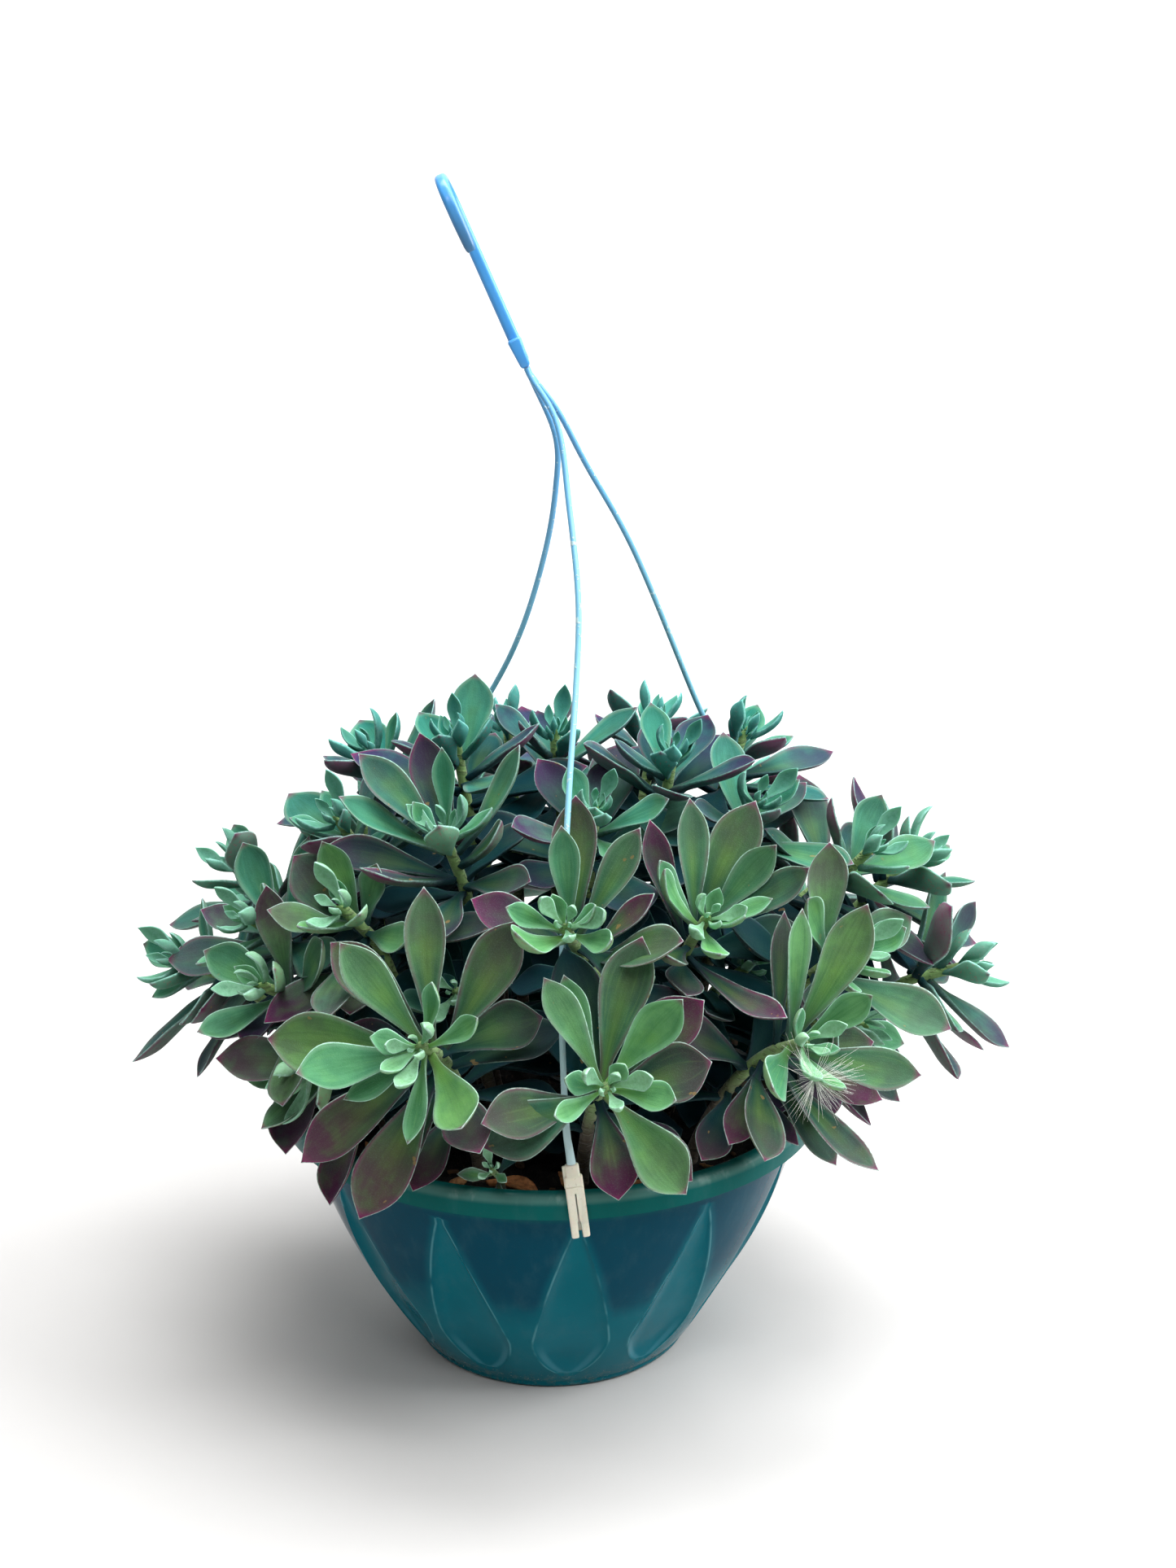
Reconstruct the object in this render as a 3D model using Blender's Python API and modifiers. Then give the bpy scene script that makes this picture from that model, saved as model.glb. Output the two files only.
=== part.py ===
# A fuzzy-leaved echeveria clump in a fluted hanging bowl that stands on its base.
# World frame: metres, +Z up, the pot's axis on Z, its base on z = 0, the front towards -Y.

import math
import random
from itertools import combinations, product

import bpy
import bmesh
from mathutils import Matrix, Vector
from mathutils.bvhtree import BVHTree

mm = 0.001
clearance = 0.3 * mm

# Pot: a thin moulded bowl with a rolled rim and pointed flutes
pot_rim_radius = 125 * mm
pot_rim_top = 125.8 * mm
pot_lip_bottom = 114.8 * mm
pot_sheet = 1.8 * mm
pot_base_radius = 60 * mm
pot_wall_start = 62.9 * mm
pot_wall_slope = 0.7163
pot_wall_bend = 2.163
flute_count = 12
flute_columns = 4
flute_azimuth = math.radians(6.5)
flute_top = 106 * mm
flute_widest = 34 * mm
flute_bottom = 10 * mm
flute_half_angle = math.radians(11.5)
flute_depth = 4.2 * mm
drain_count = 5
drain_radius = 4 * mm
drain_circle = 38 * mm

# Soil: fills the bowl to just under the rim, with a hole for each stem
soil_top = 112 * mm
soil_crown = 3 * mm
soil_hole_depth = 14 * mm
soil_hole_sides = 4
soil_sides = 24
soil_wall_gap = 1.2 * mm

# Hanger: three stiff strands from rim clips to a strap hook that leans to the left
hub_point = Vector((-11, 0, 453)) * mm
hook_lean = math.radians(24)
hook_top_length = 79 * mm
hook_bend_radius = 12.5 * mm
hook_leg_length = 19 * mm
strap_half_width = 2.6 * mm
strap_half_thickness = 1.8 * mm
strand_radius = 1.3 * mm
strand_pitch = 3.0 * mm
strand_stub = 3 * mm
strand_points = 15
socket_size = (6.4 * mm, 12 * mm, 13 * mm)
socket_rise = 2 * mm
clip_azimuth = math.radians(5.5)
clip_half_width = 4 * mm
clip_tilt = math.radians(7)
clip_pivot = 125 * mm
clip_front = 126.2 * mm
clip_top = 141 * mm
clip_bottom = 108 * mm
clip_leg = 2.2 * mm
clip_reach_in = 2.4 * mm
clip_over_rim = 0.8 * mm

# Stems: rooted apart in the soil, nearer the middle than their rosettes
root_pull = 0.60
root_reach = 98 * mm
pup_reach = 102 * mm
root_limit = 103 * mm
root_spacing = 15 * mm
stem_root_radius = 3.3 * mm
stem_tip_radius = 2.4 * mm
stem_room = 0.5 * mm
stem_swings = (0, -7, 7, -14, 14, -22, 22)
stem_bows = ((0.35, 0.35), (0.5, 0.3), (0.25, 0.45), (0.6, 0.2), (0.2, 0.25), (0.15, 0.1))
bud_length = 6 * mm
bud_tip_radius = 0.5 * mm

# Leaves: fleshy spoon-shaped blades with a keel below
leaf_thickness = 3.4 * mm
leaf_taper = 0.45
leaf_foot = 1.2 * mm
leaf_channel = 0.16
leaf_room = 0.45 * mm
blade_start = 0.3
long_leaf = 58.5 * mm
short_leaf = 20 * mm
seen_spread = 26 * mm
rule_spread = 0.76
rule_shrink = 0.86
view_tilt = math.radians(15)
golden_turn = math.radians(137.5)
neighbour_reach = 160 * mm
fuse_shift = 0.4 * mm


def around(azimuth, radius, z):
    # A point at an azimuth counted from the front (-Y) towards +X.
    return Vector((radius * math.sin(azimuth), -radius * math.cos(azimuth), z))


def direction(azimuth, elevation):
    flat = math.cos(elevation)
    return Vector((flat * math.sin(azimuth), -flat * math.cos(azimuth), math.sin(elevation)))


def blend(a, b, t):
    return a + (b - a) * t


def clear_scene():
    for item in list(bpy.data.objects):
        bpy.data.objects.remove(item)
    for group in list(bpy.data.collections):
        bpy.data.collections.remove(group)


def make_collection(name):
    group = bpy.data.collections.new(name)
    bpy.context.scene.collection.children.link(group)
    return group


def make_material(name, colour, roughness, metallic=0.0):
    material = bpy.data.materials.new(name)
    material.use_nodes = True
    shader = material.node_tree.nodes["Principled BSDF"]
    shader.inputs["Base Color"].default_value = (*colour, 1.0)
    shader.inputs["Roughness"].default_value = roughness
    shader.inputs["Metallic"].default_value = metallic
    return material


def add_object(name, mesh, group, material=None):
    item = bpy.data.objects.new(name, mesh)
    group.objects.link(item)
    if material:
        item.data.materials.append(material)
    return item


def mesh_of(item, weld=True):
    # The object's evaluated mesh as a new mesh, by default with its loose caps welded.
    bpy.context.view_layer.update()
    depsgraph = bpy.context.evaluated_depsgraph_get()
    mesh = bpy.data.meshes.new_from_object(item.evaluated_get(depsgraph))
    if weld:
        work = bmesh.new()
        work.from_mesh(mesh)
        bmesh.ops.remove_doubles(work, verts=work.verts, dist=0.01 * mm)
        work.to_mesh(mesh)
        work.free()
    return mesh


def smooth_shade(mesh, angle=40):
    mesh.shade_smooth()
    mesh.set_sharp_from_angle(angle=math.radians(angle))


def tree_of(meshes):
    # One search tree over several meshes that are all in world space.
    points = []
    faces = []
    for mesh in meshes:
        start = len(points)
        points.extend(vertex.co.copy() for vertex in mesh.vertices)
        faces.extend([start + index for index in polygon.vertices] for polygon in mesh.polygons)
    return BVHTree.FromPolygons(points, faces)


def use_boolean(target, name, operation, cutter=None, group=None):
    modifier = target.modifiers.new(name, "BOOLEAN")
    modifier.operation = operation
    if group:
        modifier.operand_type = "COLLECTION"
        modifier.collection = group
    else:
        modifier.object = cutter
    return modifier


def hide_cutter(item):
    item.hide_render = True
    item.display_type = "WIRE"


# Pot

def wall_radius(z):
    return pot_wall_start + pot_wall_slope * z - pot_wall_bend * z * z


def flute_half(z):
    # Half the flute's angle: a point at the top, widest near the foot, then a round end.
    if z >= flute_widest:
        return flute_half_angle * max(0.12, (flute_top - z) / (flute_top - flute_widest))
    drop = (flute_widest - z) / (flute_widest - flute_bottom)
    return flute_half_angle * math.sqrt(max(0.08, 1 - drop * drop))


def flute_hollow(z):
    if z >= flute_top or z <= flute_bottom:
        return 0.0
    rise = min(1.0, (flute_top - z) / (flute_top - 60 * mm))
    fall = min(1.0, (z - flute_bottom) / (14 * mm))
    return flute_depth * math.sin(0.5 * math.pi * rise) * math.sin(0.5 * math.pi * fall)


def pot_profile():
    # From the lip's lower edge up over the rim, down the wall and in along the base.
    lip = pot_rim_radius - pot_sheet
    points = [
        (lip, pot_lip_bottom),
        (lip - 0.6 * mm, 121 * mm),
        (lip - 3.2 * mm, pot_rim_top - pot_sheet - 0.4 * mm),
        (wall_radius(112 * mm) + 1.6 * mm, 121.6 * mm),
    ]
    for z in (flute_top, 66 * mm, flute_widest, 18 * mm, flute_bottom):
        points.append((wall_radius(z), z))
    points.append((pot_base_radius, 0.0))
    points.append((0.0, 0.0))
    return points


def shape_flutes(mesh):
    # The spun wall has four columns of vertices for each flute: one between flutes, one on
    # each edge and one along the flute's floor.
    columns = flute_columns * flute_count
    pitch = 2 * math.pi / flute_count
    for vertex in mesh.vertices:
        radius = math.hypot(vertex.co.x, vertex.co.y)
        if radius < 1 * mm:
            continue
        column = round(math.atan2(vertex.co.x, -vertex.co.y) / (2 * math.pi / columns)) % columns
        flute, place = divmod(column, flute_columns)
        z = vertex.co.z
        in_flute = flute_bottom - 1 * mm < z < flute_top + 1 * mm and radius < wall_radius(z) + 1 * mm
        half = flute_half(z) if in_flute else math.radians(7.5)
        offset = (-0.5 * pitch, -half, 0, half)[place]
        hollow = flute_hollow(z) if in_flute and place == 2 else 0.0
        vertex.co = around(flute_azimuth + flute * pitch + offset, radius - hollow, z)


def spin_profile(name, points, steps, cutters):
    # A profile turned once round the Z axis, as a mesh.
    profile = bpy.data.meshes.new(name)
    profile.from_pydata([(x, 0, z) for x, z in points], [(i, i + 1) for i in range(len(points) - 1)], [])
    spun = add_object(name, profile, cutters)
    screw = spun.modifiers.new("Spin", "SCREW")
    screw.axis = "Z"
    screw.steps = steps
    screw.render_steps = steps
    screw.use_merge_vertices = True
    screw.merge_threshold = 0.01 * mm
    mesh = mesh_of(spun)
    bpy.data.objects.remove(spun)
    return mesh


def make_pot(group, cutters, material):
    mesh = spin_profile("pot_spun", pot_profile(), flute_columns * flute_count, cutters)
    shape_flutes(mesh)
    pot = add_object("pot", mesh, group, material)
    wall = pot.modifiers.new("Sheet", "SOLIDIFY")
    wall.thickness = pot_sheet
    wall.offset = -1
    wall.use_even_offset = True
    for k in range(drain_count):
        centre = around(2 * math.pi * k / drain_count, drain_circle, 0)
        bpy.ops.mesh.primitive_cylinder_add(vertices=6, radius=drain_radius, depth=20 * mm, location=centre)
        hole = bpy.context.object
        hole.name = f"drain_cutter_{k + 1}"
        bpy.context.scene.collection.objects.unlink(hole)
        cutters.objects.link(hole)
        hide_cutter(hole)
        use_boolean(pot, f"Drain {k + 1}", "DIFFERENCE", hole)
    smooth_shade(mesh, 30)
    return pot


# Hanger

def smooth_route(points, count):
    # A Catmull-Rom curve through the route's own points, read at even steps of its length.
    fine = []
    ends = [2 * points[0] - points[1], *points, 2 * points[-1] - points[-2]]
    for a, b, c, d in zip(ends, ends[1:], ends[2:], ends[3:]):
        for step in range(24):
            t = step / 24
            fine.append(0.5 * (2 * b + (c - a) * t + (2 * a - 5 * b + 4 * c - d) * t * t
                               + (3 * b - a - 3 * c + d) * t ** 3))
    fine.append(points[-1].copy())
    lengths = [0.0]
    for a, b in zip(fine, fine[1:]):
        lengths.append(lengths[-1] + (b - a).length)
    route = []
    index = 0
    for k in range(count):
        goal = lengths[-1] * k / (count - 1)
        while index < len(fine) - 2 and lengths[index + 1] < goal:
            index += 1
        span = lengths[index + 1] - lengths[index]
        route.append(blend(fine[index], fine[index + 1], min(1.0, (goal - lengths[index]) / span)))
    return route


def tube(name, route, radii, group, sides_step):
    curve = bpy.data.curves.new(name, "CURVE")
    curve.dimensions = "3D"
    curve.bevel_depth = 1.0
    curve.bevel_resolution = sides_step
    curve.use_fill_caps = True
    spline = curve.splines.new("POLY")
    spline.points.add(len(route) - 1)
    for point, place, radius in zip(spline.points, route, radii):
        point.co = (*place, 1)
        point.radius = radius
    item = bpy.data.objects.new(name, curve)
    group.objects.link(item)
    mesh = mesh_of(item)
    bpy.data.objects.remove(item)
    mesh.name = name
    return mesh


def hook_frame():
    # The hook's own directions: along its shank, and across its strap.
    lean = Vector((-math.sin(hook_lean), 0, math.cos(hook_lean)))
    across = Vector((math.cos(hook_lean), 0, math.sin(hook_lean)))
    return lean, across


def clip_turn(turn_index):
    # From a clip at the front to its third of the rim. Each clip leans a little to its left.
    pivot = Vector((0, 0, clip_pivot))
    lean = Matrix.Translation(pivot) @ Matrix.Rotation(-clip_tilt, 4, "Y") @ Matrix.Translation(-pivot)
    return Matrix.Rotation(clip_azimuth + turn_index * 2 * math.pi / 3, 4, "Z") @ lean


def strand_routes():
    # Each strand leaves its clip, bows inwards and ends side by side with the others
    # under the hook's socket. Both ends have a short straight stub that meets its seat squarely.
    lean, _ = hook_frame()
    end = hub_point - lean * (0.5 * socket_size[2] - socket_rise + clearance)
    ends = {
        "front": end + Vector((0, -strand_pitch, 0)),
        "left": end,
        "right": end + Vector((0, strand_pitch, 0)),
    }
    middles = {
        "front": [(8, -126, 160), (6.5, -118, 205), (7.5, -100, 250), (9.5, -80, 288), (12, -60, 322),
                  (13, -45, 356), (9, -27, 394), (4, -13, 426)],
        "left": [(-111, 51, 165), (-90, 46, 205), (-60, 38, 250), (-29, 29, 299), (-13, 18, 332),
                 (-2, 10, 368), (3, 5, 397), (3, 2, 420)],
        "right": [(102, 72, 165), (96, 67, 205), (81, 59, 261), (66, 48, 297), (38, 26, 366),
                  (16, 12, 407), (4, 7, 430)],
    }
    turns = {"front": 0, "right": 1, "left": 2}
    routes = {}
    for name, middle in middles.items():
        turn = clip_turn(turns[name])
        foot, above = (turn @ Vector((0, -clip_front - 0.5 * clip_leg, clip_top + clearance + rise))
                       for rise in (0, strand_stub))
        bowed = [Vector(place) * mm for place in middle]
        points = [above, *bowed, ends[name] - lean * strand_stub]
        routes[name] = [foot, *smooth_route(points, strand_points - 2), ends[name]]
    return routes


def hook_route():
    # Up the shank, over the bend towards the front and down the short leg.
    lean, _ = hook_frame()
    front = Vector((0, -1, 0))
    straight = hook_top_length - hook_bend_radius
    route = [hub_point, hub_point + lean * (0.5 * straight)]
    centre = hub_point + lean * straight + front * hook_bend_radius
    for k in range(9):
        turn = math.pi * k / 8
        spoke = lean * math.sin(turn) - front * math.cos(turn)
        route.append(centre + spoke * hook_bend_radius)
    route.append(centre + front * hook_bend_radius - lean * hook_leg_length)
    return route


def strap_mesh(name, route):
    # A flat strap with cut corners swept along the hook, with its wide side across the lean.
    _, across = hook_frame()
    corners = ((-1, -0.5), (-0.5, -1), (0.5, -1), (1, -0.5), (1, 0.5), (0.5, 1), (-0.5, 1), (-1, 0.5))
    work = bmesh.new()
    rings = []
    for k, place in enumerate(route):
        ahead = (route[min(k + 1, len(route) - 1)] - route[max(k - 1, 0)]).normalized()
        out = ahead.cross(across).normalized()
        last = k == len(route) - 1
        thick = strap_half_thickness * (0.75 if last else 1)
        wide = strap_half_width * (0.8 if last else 1)
        rings.append([work.verts.new(place + across * (wide * a) + out * (thick * b)) for a, b in corners])
    close_loft(work, rings)
    mesh = bpy.data.meshes.new(name)
    work.to_mesh(mesh)
    work.free()
    return mesh


def close_loft(work, rings, tip=None):
    # Skins a row of like rings and closes both ends, at a point where one is given.
    sides = len(rings[0])
    for a, b in zip(rings, rings[1:]):
        for k in range(sides):
            work.faces.new((a[k], a[(k + 1) % sides], b[(k + 1) % sides], b[k]))
    work.faces.new(rings[0][::-1])
    if tip is None:
        work.faces.new(rings[-1])
    else:
        for k in range(sides):
            work.faces.new((rings[-1][k], rings[-1][(k + 1) % sides], tip))
    bmesh.ops.recalc_face_normals(work, faces=work.faces)


def make_hook(group, cutters, material):
    hook = add_object("hook", strap_mesh("hook", hook_route()), group, material)
    # The socket that holds the three strand ends is a short block under the shank
    lean, across = hook_frame()
    turn = Matrix((across, Vector((0, 1, 0)), lean)).transposed().to_4x4()
    bpy.ops.mesh.primitive_cube_add(size=1)
    socket = bpy.context.object
    socket.name = "hook_socket"
    socket.data.transform(Matrix.Diagonal((*socket_size, 1)))
    socket.data.transform(Matrix.Translation(hub_point + lean * socket_rise) @ turn)
    bpy.context.scene.collection.objects.unlink(socket)
    cutters.objects.link(socket)
    hide_cutter(socket)
    use_boolean(hook, "Socket", "UNION", socket)
    return hook


def box_mesh(name, ranges, turn):
    # A box from its range on each axis, turned about the pot's axis.
    work = bmesh.new()
    made = bmesh.ops.create_cube(work, size=1)["verts"]
    for vertex in made:
        vertex.co = turn @ Vector([blend(*ranges[i], vertex.co[i] + 0.5) for i in range(3)])
    mesh = bpy.data.meshes.new(name)
    work.to_mesh(mesh)
    work.free()
    return mesh


def make_clip(name, turn_index, group, cutters, material):
    # A moulded clip over the rim: a front leg with two prongs, a bridge, and a rear leg.
    turn = clip_turn(turn_index)
    front = clip_front + clip_leg
    inside = wall_radius(soil_top) - pot_sheet - clip_reach_in
    bridge_low = pot_rim_top + clip_over_rim
    rear_low = soil_top + 1.5 * mm
    prong_top = clip_bottom + 5 * mm
    prong_back = -clip_front - 0.3 * mm
    prong_front = -clip_front - 1.8 * mm
    rear_back = -inside + 1.8 * mm
    # Each box by its ranges across, outwards and up, as if the clip sat at the front
    leg = ((-clip_half_width, clip_half_width), (-front, -clip_front), (clip_bottom + 3 * mm, clip_top))
    boxes = {
        "rear": ((-3 * mm, 3 * mm), (-inside, rear_back), (rear_low, bridge_low + 3 * mm)),
        "bridge": ((-3.4 * mm, 3.4 * mm), (-front + 0.4 * mm, rear_back - 0.1 * mm),
                   (bridge_low, bridge_low + 3.4 * mm)),
        "prong_left": ((-3.6 * mm, -0.8 * mm), (prong_front, prong_back), (clip_bottom, prong_top)),
        "prong_right": ((0.8 * mm, 3.6 * mm), (prong_front, prong_back), (clip_bottom, prong_top)),
        "pin": ((-0.6 * mm, 0.6 * mm), (prong_front + 0.3 * mm, prong_back - 0.3 * mm),
                (clip_bottom - 2.5 * mm, prong_top)),
    }
    clip = add_object(name, box_mesh(name, leg, turn), group, material)
    for part, ranges in boxes.items():
        cutter = add_object(f"{name}_{part}", box_mesh(f"{name}_{part}", ranges, turn), cutters)
        hide_cutter(cutter)
        use_boolean(clip, part, "UNION", cutter)
    return clip


# Rosettes

# Leaf tips of the rosettes that face the front, as seen from there: the clock angle in
# degrees, the reach in millimetres, how far the tip comes forward, and the leaf's width.
# Oldest leaves come first.
seen_leaves = {
    "front_left": [
        (-160, 73, -6, 24), (-135, 68, -12, 24), (38, 61, -16, 22), (80, 48, -22, 22), (-46, 55, -32, 20),
        (0, 62, -14, 17), (-88, 61, -6, 25), (-38, 52, 0, 17), (146, 33, 32, 20), (-100, 48, 14, 20),
        (-122, 36, 4, 10), (186, 37, 10, 10), (61, 27, 15, 10), (11, 27, 12, 9), (-75, 20, 10, 11),
        (-117, 16, 18, 8),
    ],
    "front_middle": [
        (174, 46, -6, 20), (51, 51, -18, 22), (81, 45, -18, 24), (-19, 55, -26, 20), (14, 60, -12, 21),
        (-117, 54, -5, 23), (142, 50, 12, 22), (-30, 50, 0, 14), (-18, 45, 6, 14), (40, 46, 8, 18),
        (95, 27, 18, 13), (-111, 22, 22, 9), (-72, 17, 12, 10), (35, 13, 10, 9),
    ],
    "front_right": [
        (-144, 50, 5, 15), (127, 44, -16, 18), (149, 60, 4, 14), (-6, 53, -16, 13), (106, 51, 0, 18),
        (25, 63, -2, 21), (4, 54, -4, 13), (-132, 20, 35, 19), (53, 35, 10, 14), (135, 22, 24, 9),
        (95, 15, 12, 6), (0, 15, 8, 7),
    ],
    "middle": [
        (71, 39, -6, 13), (-75, 40, -18, 18), (3, 53, -18, 20), (120, 42, -14, 18), (37, 50, 0, 15),
        (-50, 49, 4, 16), (-2, 41, -2, 13), (-93, 19, 32, 18), (100, 19, 25, 11), (-68, 25, 14, 10),
        (51, 16, 12, 8), (-20, 15, 8, 8),
    ],
    "middle_right": [
        (128, 52, 14, 14), (-30, 48, -10, 14), (-125, 20, 30, 16), (24, 54, -12, 21), (-7, 51, -5, 15),
        (63, 48, 12, 15), (43, 43, 4, 15), (-38, 32, 8, 12), (-47, 31, 20, 13), (161, 13, 28, 12),
        (71, 29, 6, 9), (78, 16, 14, 7), (22, 15, 6, 8),
    ],
    "upper_left": [
        (-96, 54, -8, 19), (-110, 36, 20, 13), (-15, 46, -15, 18), (75, 26, 14, 15), (-47, 51, -3, 17),
        (39, 50, 3, 14), (-68, 47, 8, 15), (0, 5, 34, 15), (-2, 38, 2, 10), (-41, 20, 6, 10),
        (60, 24, 6, 9), (23, 13, 6, 8),
    ],
}

# Rosette centres in millimetres, the way each faces (azimuth and elevation in degrees),
# its longest leaf in millimetres, its leaf count and the turn of its spiral in degrees.
rosettes = [
    ("front_left", (-48, -140, 197), (-18, 22), 66, 0, 0),
    ("front_middle", (24, -145, 182), (8, 22), 60, 0, 0),
    ("front_right", (103, -112, 187), (30, 22), 60, 0, 0),
    ("middle", (8, -118, 238), (0, 35), 54, 0, 0),
    ("middle_right", (65, -88, 231), (20, 35), 56, 0, 0),
    ("upper_left", (-43, -62, 259), (-30, 50), 54, 0, 0),
    ("left_shoulder", (-84, -78, 232), (-30, 32), 58, 10, 20),
    ("left_low", (-120, -72, 196), (-40, 20), 60, 10, 200),
    ("left_mid", (-130, -35, 213), (-45, 30), 58, 10, 75),
    ("left_far", (-166, -14, 186), (-62, 22), 58, 10, 140),
    ("left_high", (-150, 42, 212), (-70, 40), 58, 10, 300),
    ("left_rim", (-100, -88, 166), (-48, -15), 58, 8, 60),
    ("right_big", (128, -72, 213), (35, 28), 64, 10, 110),
    ("right_mid", (140, -22, 240), (50, 40), 58, 10, 30),
    ("right_far", (188, -4, 180), (70, 18), 60, 10, 250),
    ("right_high", (170, 30, 222), (75, 40), 58, 10, 170),
    ("right_rim", (134, -52, 172), (55, -10), 56, 8, 310),
    ("upper_right", (90, -24, 262), (25, 50), 58, 10, 100),
    ("upper_mid", (20, -42, 264), (10, 52), 60, 10, 200),
    ("top_right", (54, -12, 280), (20, 62), 58, 10, 320),
    ("top_left", (-42, 2, 284), (-30, 65), 58, 10, 60),
    ("top_mid", (2, 26, 280), (0, 70), 58, 10, 10),
    ("shoulder_left", (-92, -18, 252), (-45, 45), 58, 10, 250),
    ("crown_right", (88, 28, 280), (70, 65), 58, 10, 150),
    ("crown_left", (-84, 44, 268), (-80, 58), 58, 10, 90),
    ("crown_back", (50, 70, 276), (150, 62), 58, 9, 210),
    ("crown_back_left", (-22, 78, 272), (-165, 60), 58, 9, 330),
    ("inner_left", (-38, -78, 196), (-12, 25), 60, 8, 15),
    ("inner_middle", (28, -72, 192), (8, 25), 60, 8, 85),
    ("inner_right", (84, -52, 196), (35, 25), 60, 8, 160),
    ("pup", (-22, -119, 134), (-14, 40), 17, 5, 40),
]

# The unseen back is filled by a rule: rows of rosettes by height, each row's first azimuth,
# last azimuth, count, distance from the axis, height, elevation faced and longest leaf.
back_rows = [
    (118, 246, 6, 150, 190, 20, 60),
    (128, 232, 4, 112, 236, 42, 58),
]


def all_rosettes():
    draw = random.Random(11)
    spots = list(rosettes)
    for row, (first, last, count, reach, height, faced, longest) in enumerate(back_rows):
        for k in range(count):
            azimuth = first + (last - first) * k / (count - 1) + draw.uniform(-4, 4)
            far = reach + draw.uniform(-8, 8)
            tall = height + draw.uniform(-10, 10)
            centre = around(math.radians(azimuth), far, tall)
            spots.append((f"back_{row + 1}_{k + 1}", tuple(centre), (azimuth, faced + draw.uniform(-6, 8)),
                          longest + draw.uniform(-4, 4), 9, draw.uniform(0, 360)))
    return spots


def stem_route(root, centre, axis, rise, pull):
    # Straight up out of the soil, then a bow towards the rosette, ending along its axis.
    start = Vector((root.x, root.y, soil_top + 3 * mm))
    span = (centre - start).length
    out = Vector((root.x, root.y, 0)).normalized()
    first = start + (Vector((0, 0, 1)) + out * 0.35).normalized() * (span * rise)
    second = centre - axis * (span * pull)
    route = [root, start]
    for t in (0.25, 0.5, 0.75, 1.0):
        u = 1 - t
        route.append(start * u ** 3 + first * (3 * u * u * t) + second * (3 * u * t * t) + centre * t ** 3)
    return route


def route_point(route, drop):
    # The point and direction at a distance back from the stem's tip.
    left = drop
    for a, b in zip(route[::-1], route[-2::-1]):
        step = (a - b).length
        if left <= step:
            return blend(a, b, left / step), (a - b).normalized()
        left -= step
    return route[0], Vector((0, 0, 1))


def leaf_outline(t):
    # Half width as a share of the widest: a narrow foot, widest at two thirds, a short tip.
    foot = 0.30 - 0.10 * math.sin(math.pi * min(1.0, t / 0.3))
    if t <= 0.67:
        grow = t / 0.67
        return foot + (1 - foot) * grow * grow * (3 - 2 * grow)
    fade = (t - 0.67) / 0.33
    return (1 - fade ** 2.1) ** 0.85


def leaf_mesh(leaf, grow=0.0, start=0.0):
    # A closed blade on its midrib: flat above, with a keel below.
    base, tip, axis, bow, width = leaf
    chord = tip - base
    length = chord.length
    ahead = chord.normalized()
    side = ahead.cross(axis)
    side = side.normalized() if side.length > 0.02 else ahead.orthogonal().normalized()
    up = side.cross(ahead)
    if length > long_leaf:
        stations = (start, 0.36, 0.67, 0.88)
    elif length > short_leaf:
        stations = (start, 0.42, 0.76)
    else:
        stations = (start, 0.66)
    thick = min(leaf_thickness, 0.16 * length)
    work = bmesh.new()
    rings = []
    for t in stations:
        middle = base + chord * t + up * (bow * 4 * t * (1 - t))
        tangent = (chord + up * (bow * 4 * (1 - 2 * t))).normalized()
        normal = side.cross(tangent)
        half = (0.5 * width * leaf_outline(t) if t > 0 else leaf_foot) + grow
        low = thick * (1 - leaf_taper * t) + grow
        lift = grow + leaf_channel * half * min(1.0, t * 3)
        upper = middle + normal * lift
        ring = (upper + side * half, upper - side * half, middle - normal * low)
        rings.append([work.verts.new(place) for place in ring])
    point = work.verts.new(tip + ahead * grow)
    close_loft(work, rings, point)
    mesh = bpy.data.meshes.new("leaf")
    work.to_mesh(mesh)
    work.free()
    return mesh


def leaf_plan(name, route, axis, longest, count, phase):
    # The wanted leaves of a rosette, oldest first, as base, tip, axis, bow and width.
    plan = []
    centre = route[-1]
    if name in seen_leaves:
        right = Vector((1, 0, 0))
        toward = Vector((0, -math.cos(view_tilt), math.sin(view_tilt)))
        above = Vector((0, math.sin(view_tilt), math.cos(view_tilt)))
        tips = seen_leaves[name]
        for k, (clock, reach, forward, width) in enumerate(tips):
            angle = math.radians(clock)
            tip = centre + (right * math.sin(angle) + above * math.cos(angle)) * (reach * mm)
            tip += toward * (forward * mm)
            drop = seen_spread * (1 - k / len(tips)) ** 1.6
            base, along = route_point(route, drop)
            size = (tip - base).length
            bow = -0.07 * size if forward > 0 else 0.03 * size
            plan.append((base, tip, along, bow, width * mm))
        return plan
    for k in range(count):
        youth = k / count
        fade = max(0.0, (youth - 0.3) / 0.7)
        azimuth = math.radians(phase) + k * golden_turn
        length = longest * mm * (1 - rule_shrink * fade * fade * (3 - 2 * fade))
        opening = math.radians(12 + 84 * (1 - youth) ** 0.8)
        base, along = route_point(route, rule_spread * longest * mm * (1 - youth) ** 1.5)
        across = along.orthogonal().normalized()
        radial = Matrix.Rotation(azimuth, 3, along) @ across
        tip = base + (along * math.cos(opening) + radial * math.sin(opening)) * length
        bow = length * (0.06 - 0.13 * youth)
        plan.append((base, tip, along, bow, (0.40 if youth < 0.7 else 0.46) * length))
    return plan


def bend_choices():
    # Ways to bend a leaf clear, the gentlest first: side turn, lift and length.
    choices = []
    for scale in (1.0, 0.88, 0.76, 0.62):
        for turn in (0, -7, 7, -14, 14, -22, 22):
            for lift in (0, 7, -7, 14, -14, 24, -24):
                cost = abs(turn) + abs(lift) + (1 - scale) * 90
                choices.append((cost, turn, lift, scale))
    choices.sort()
    return choices


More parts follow.
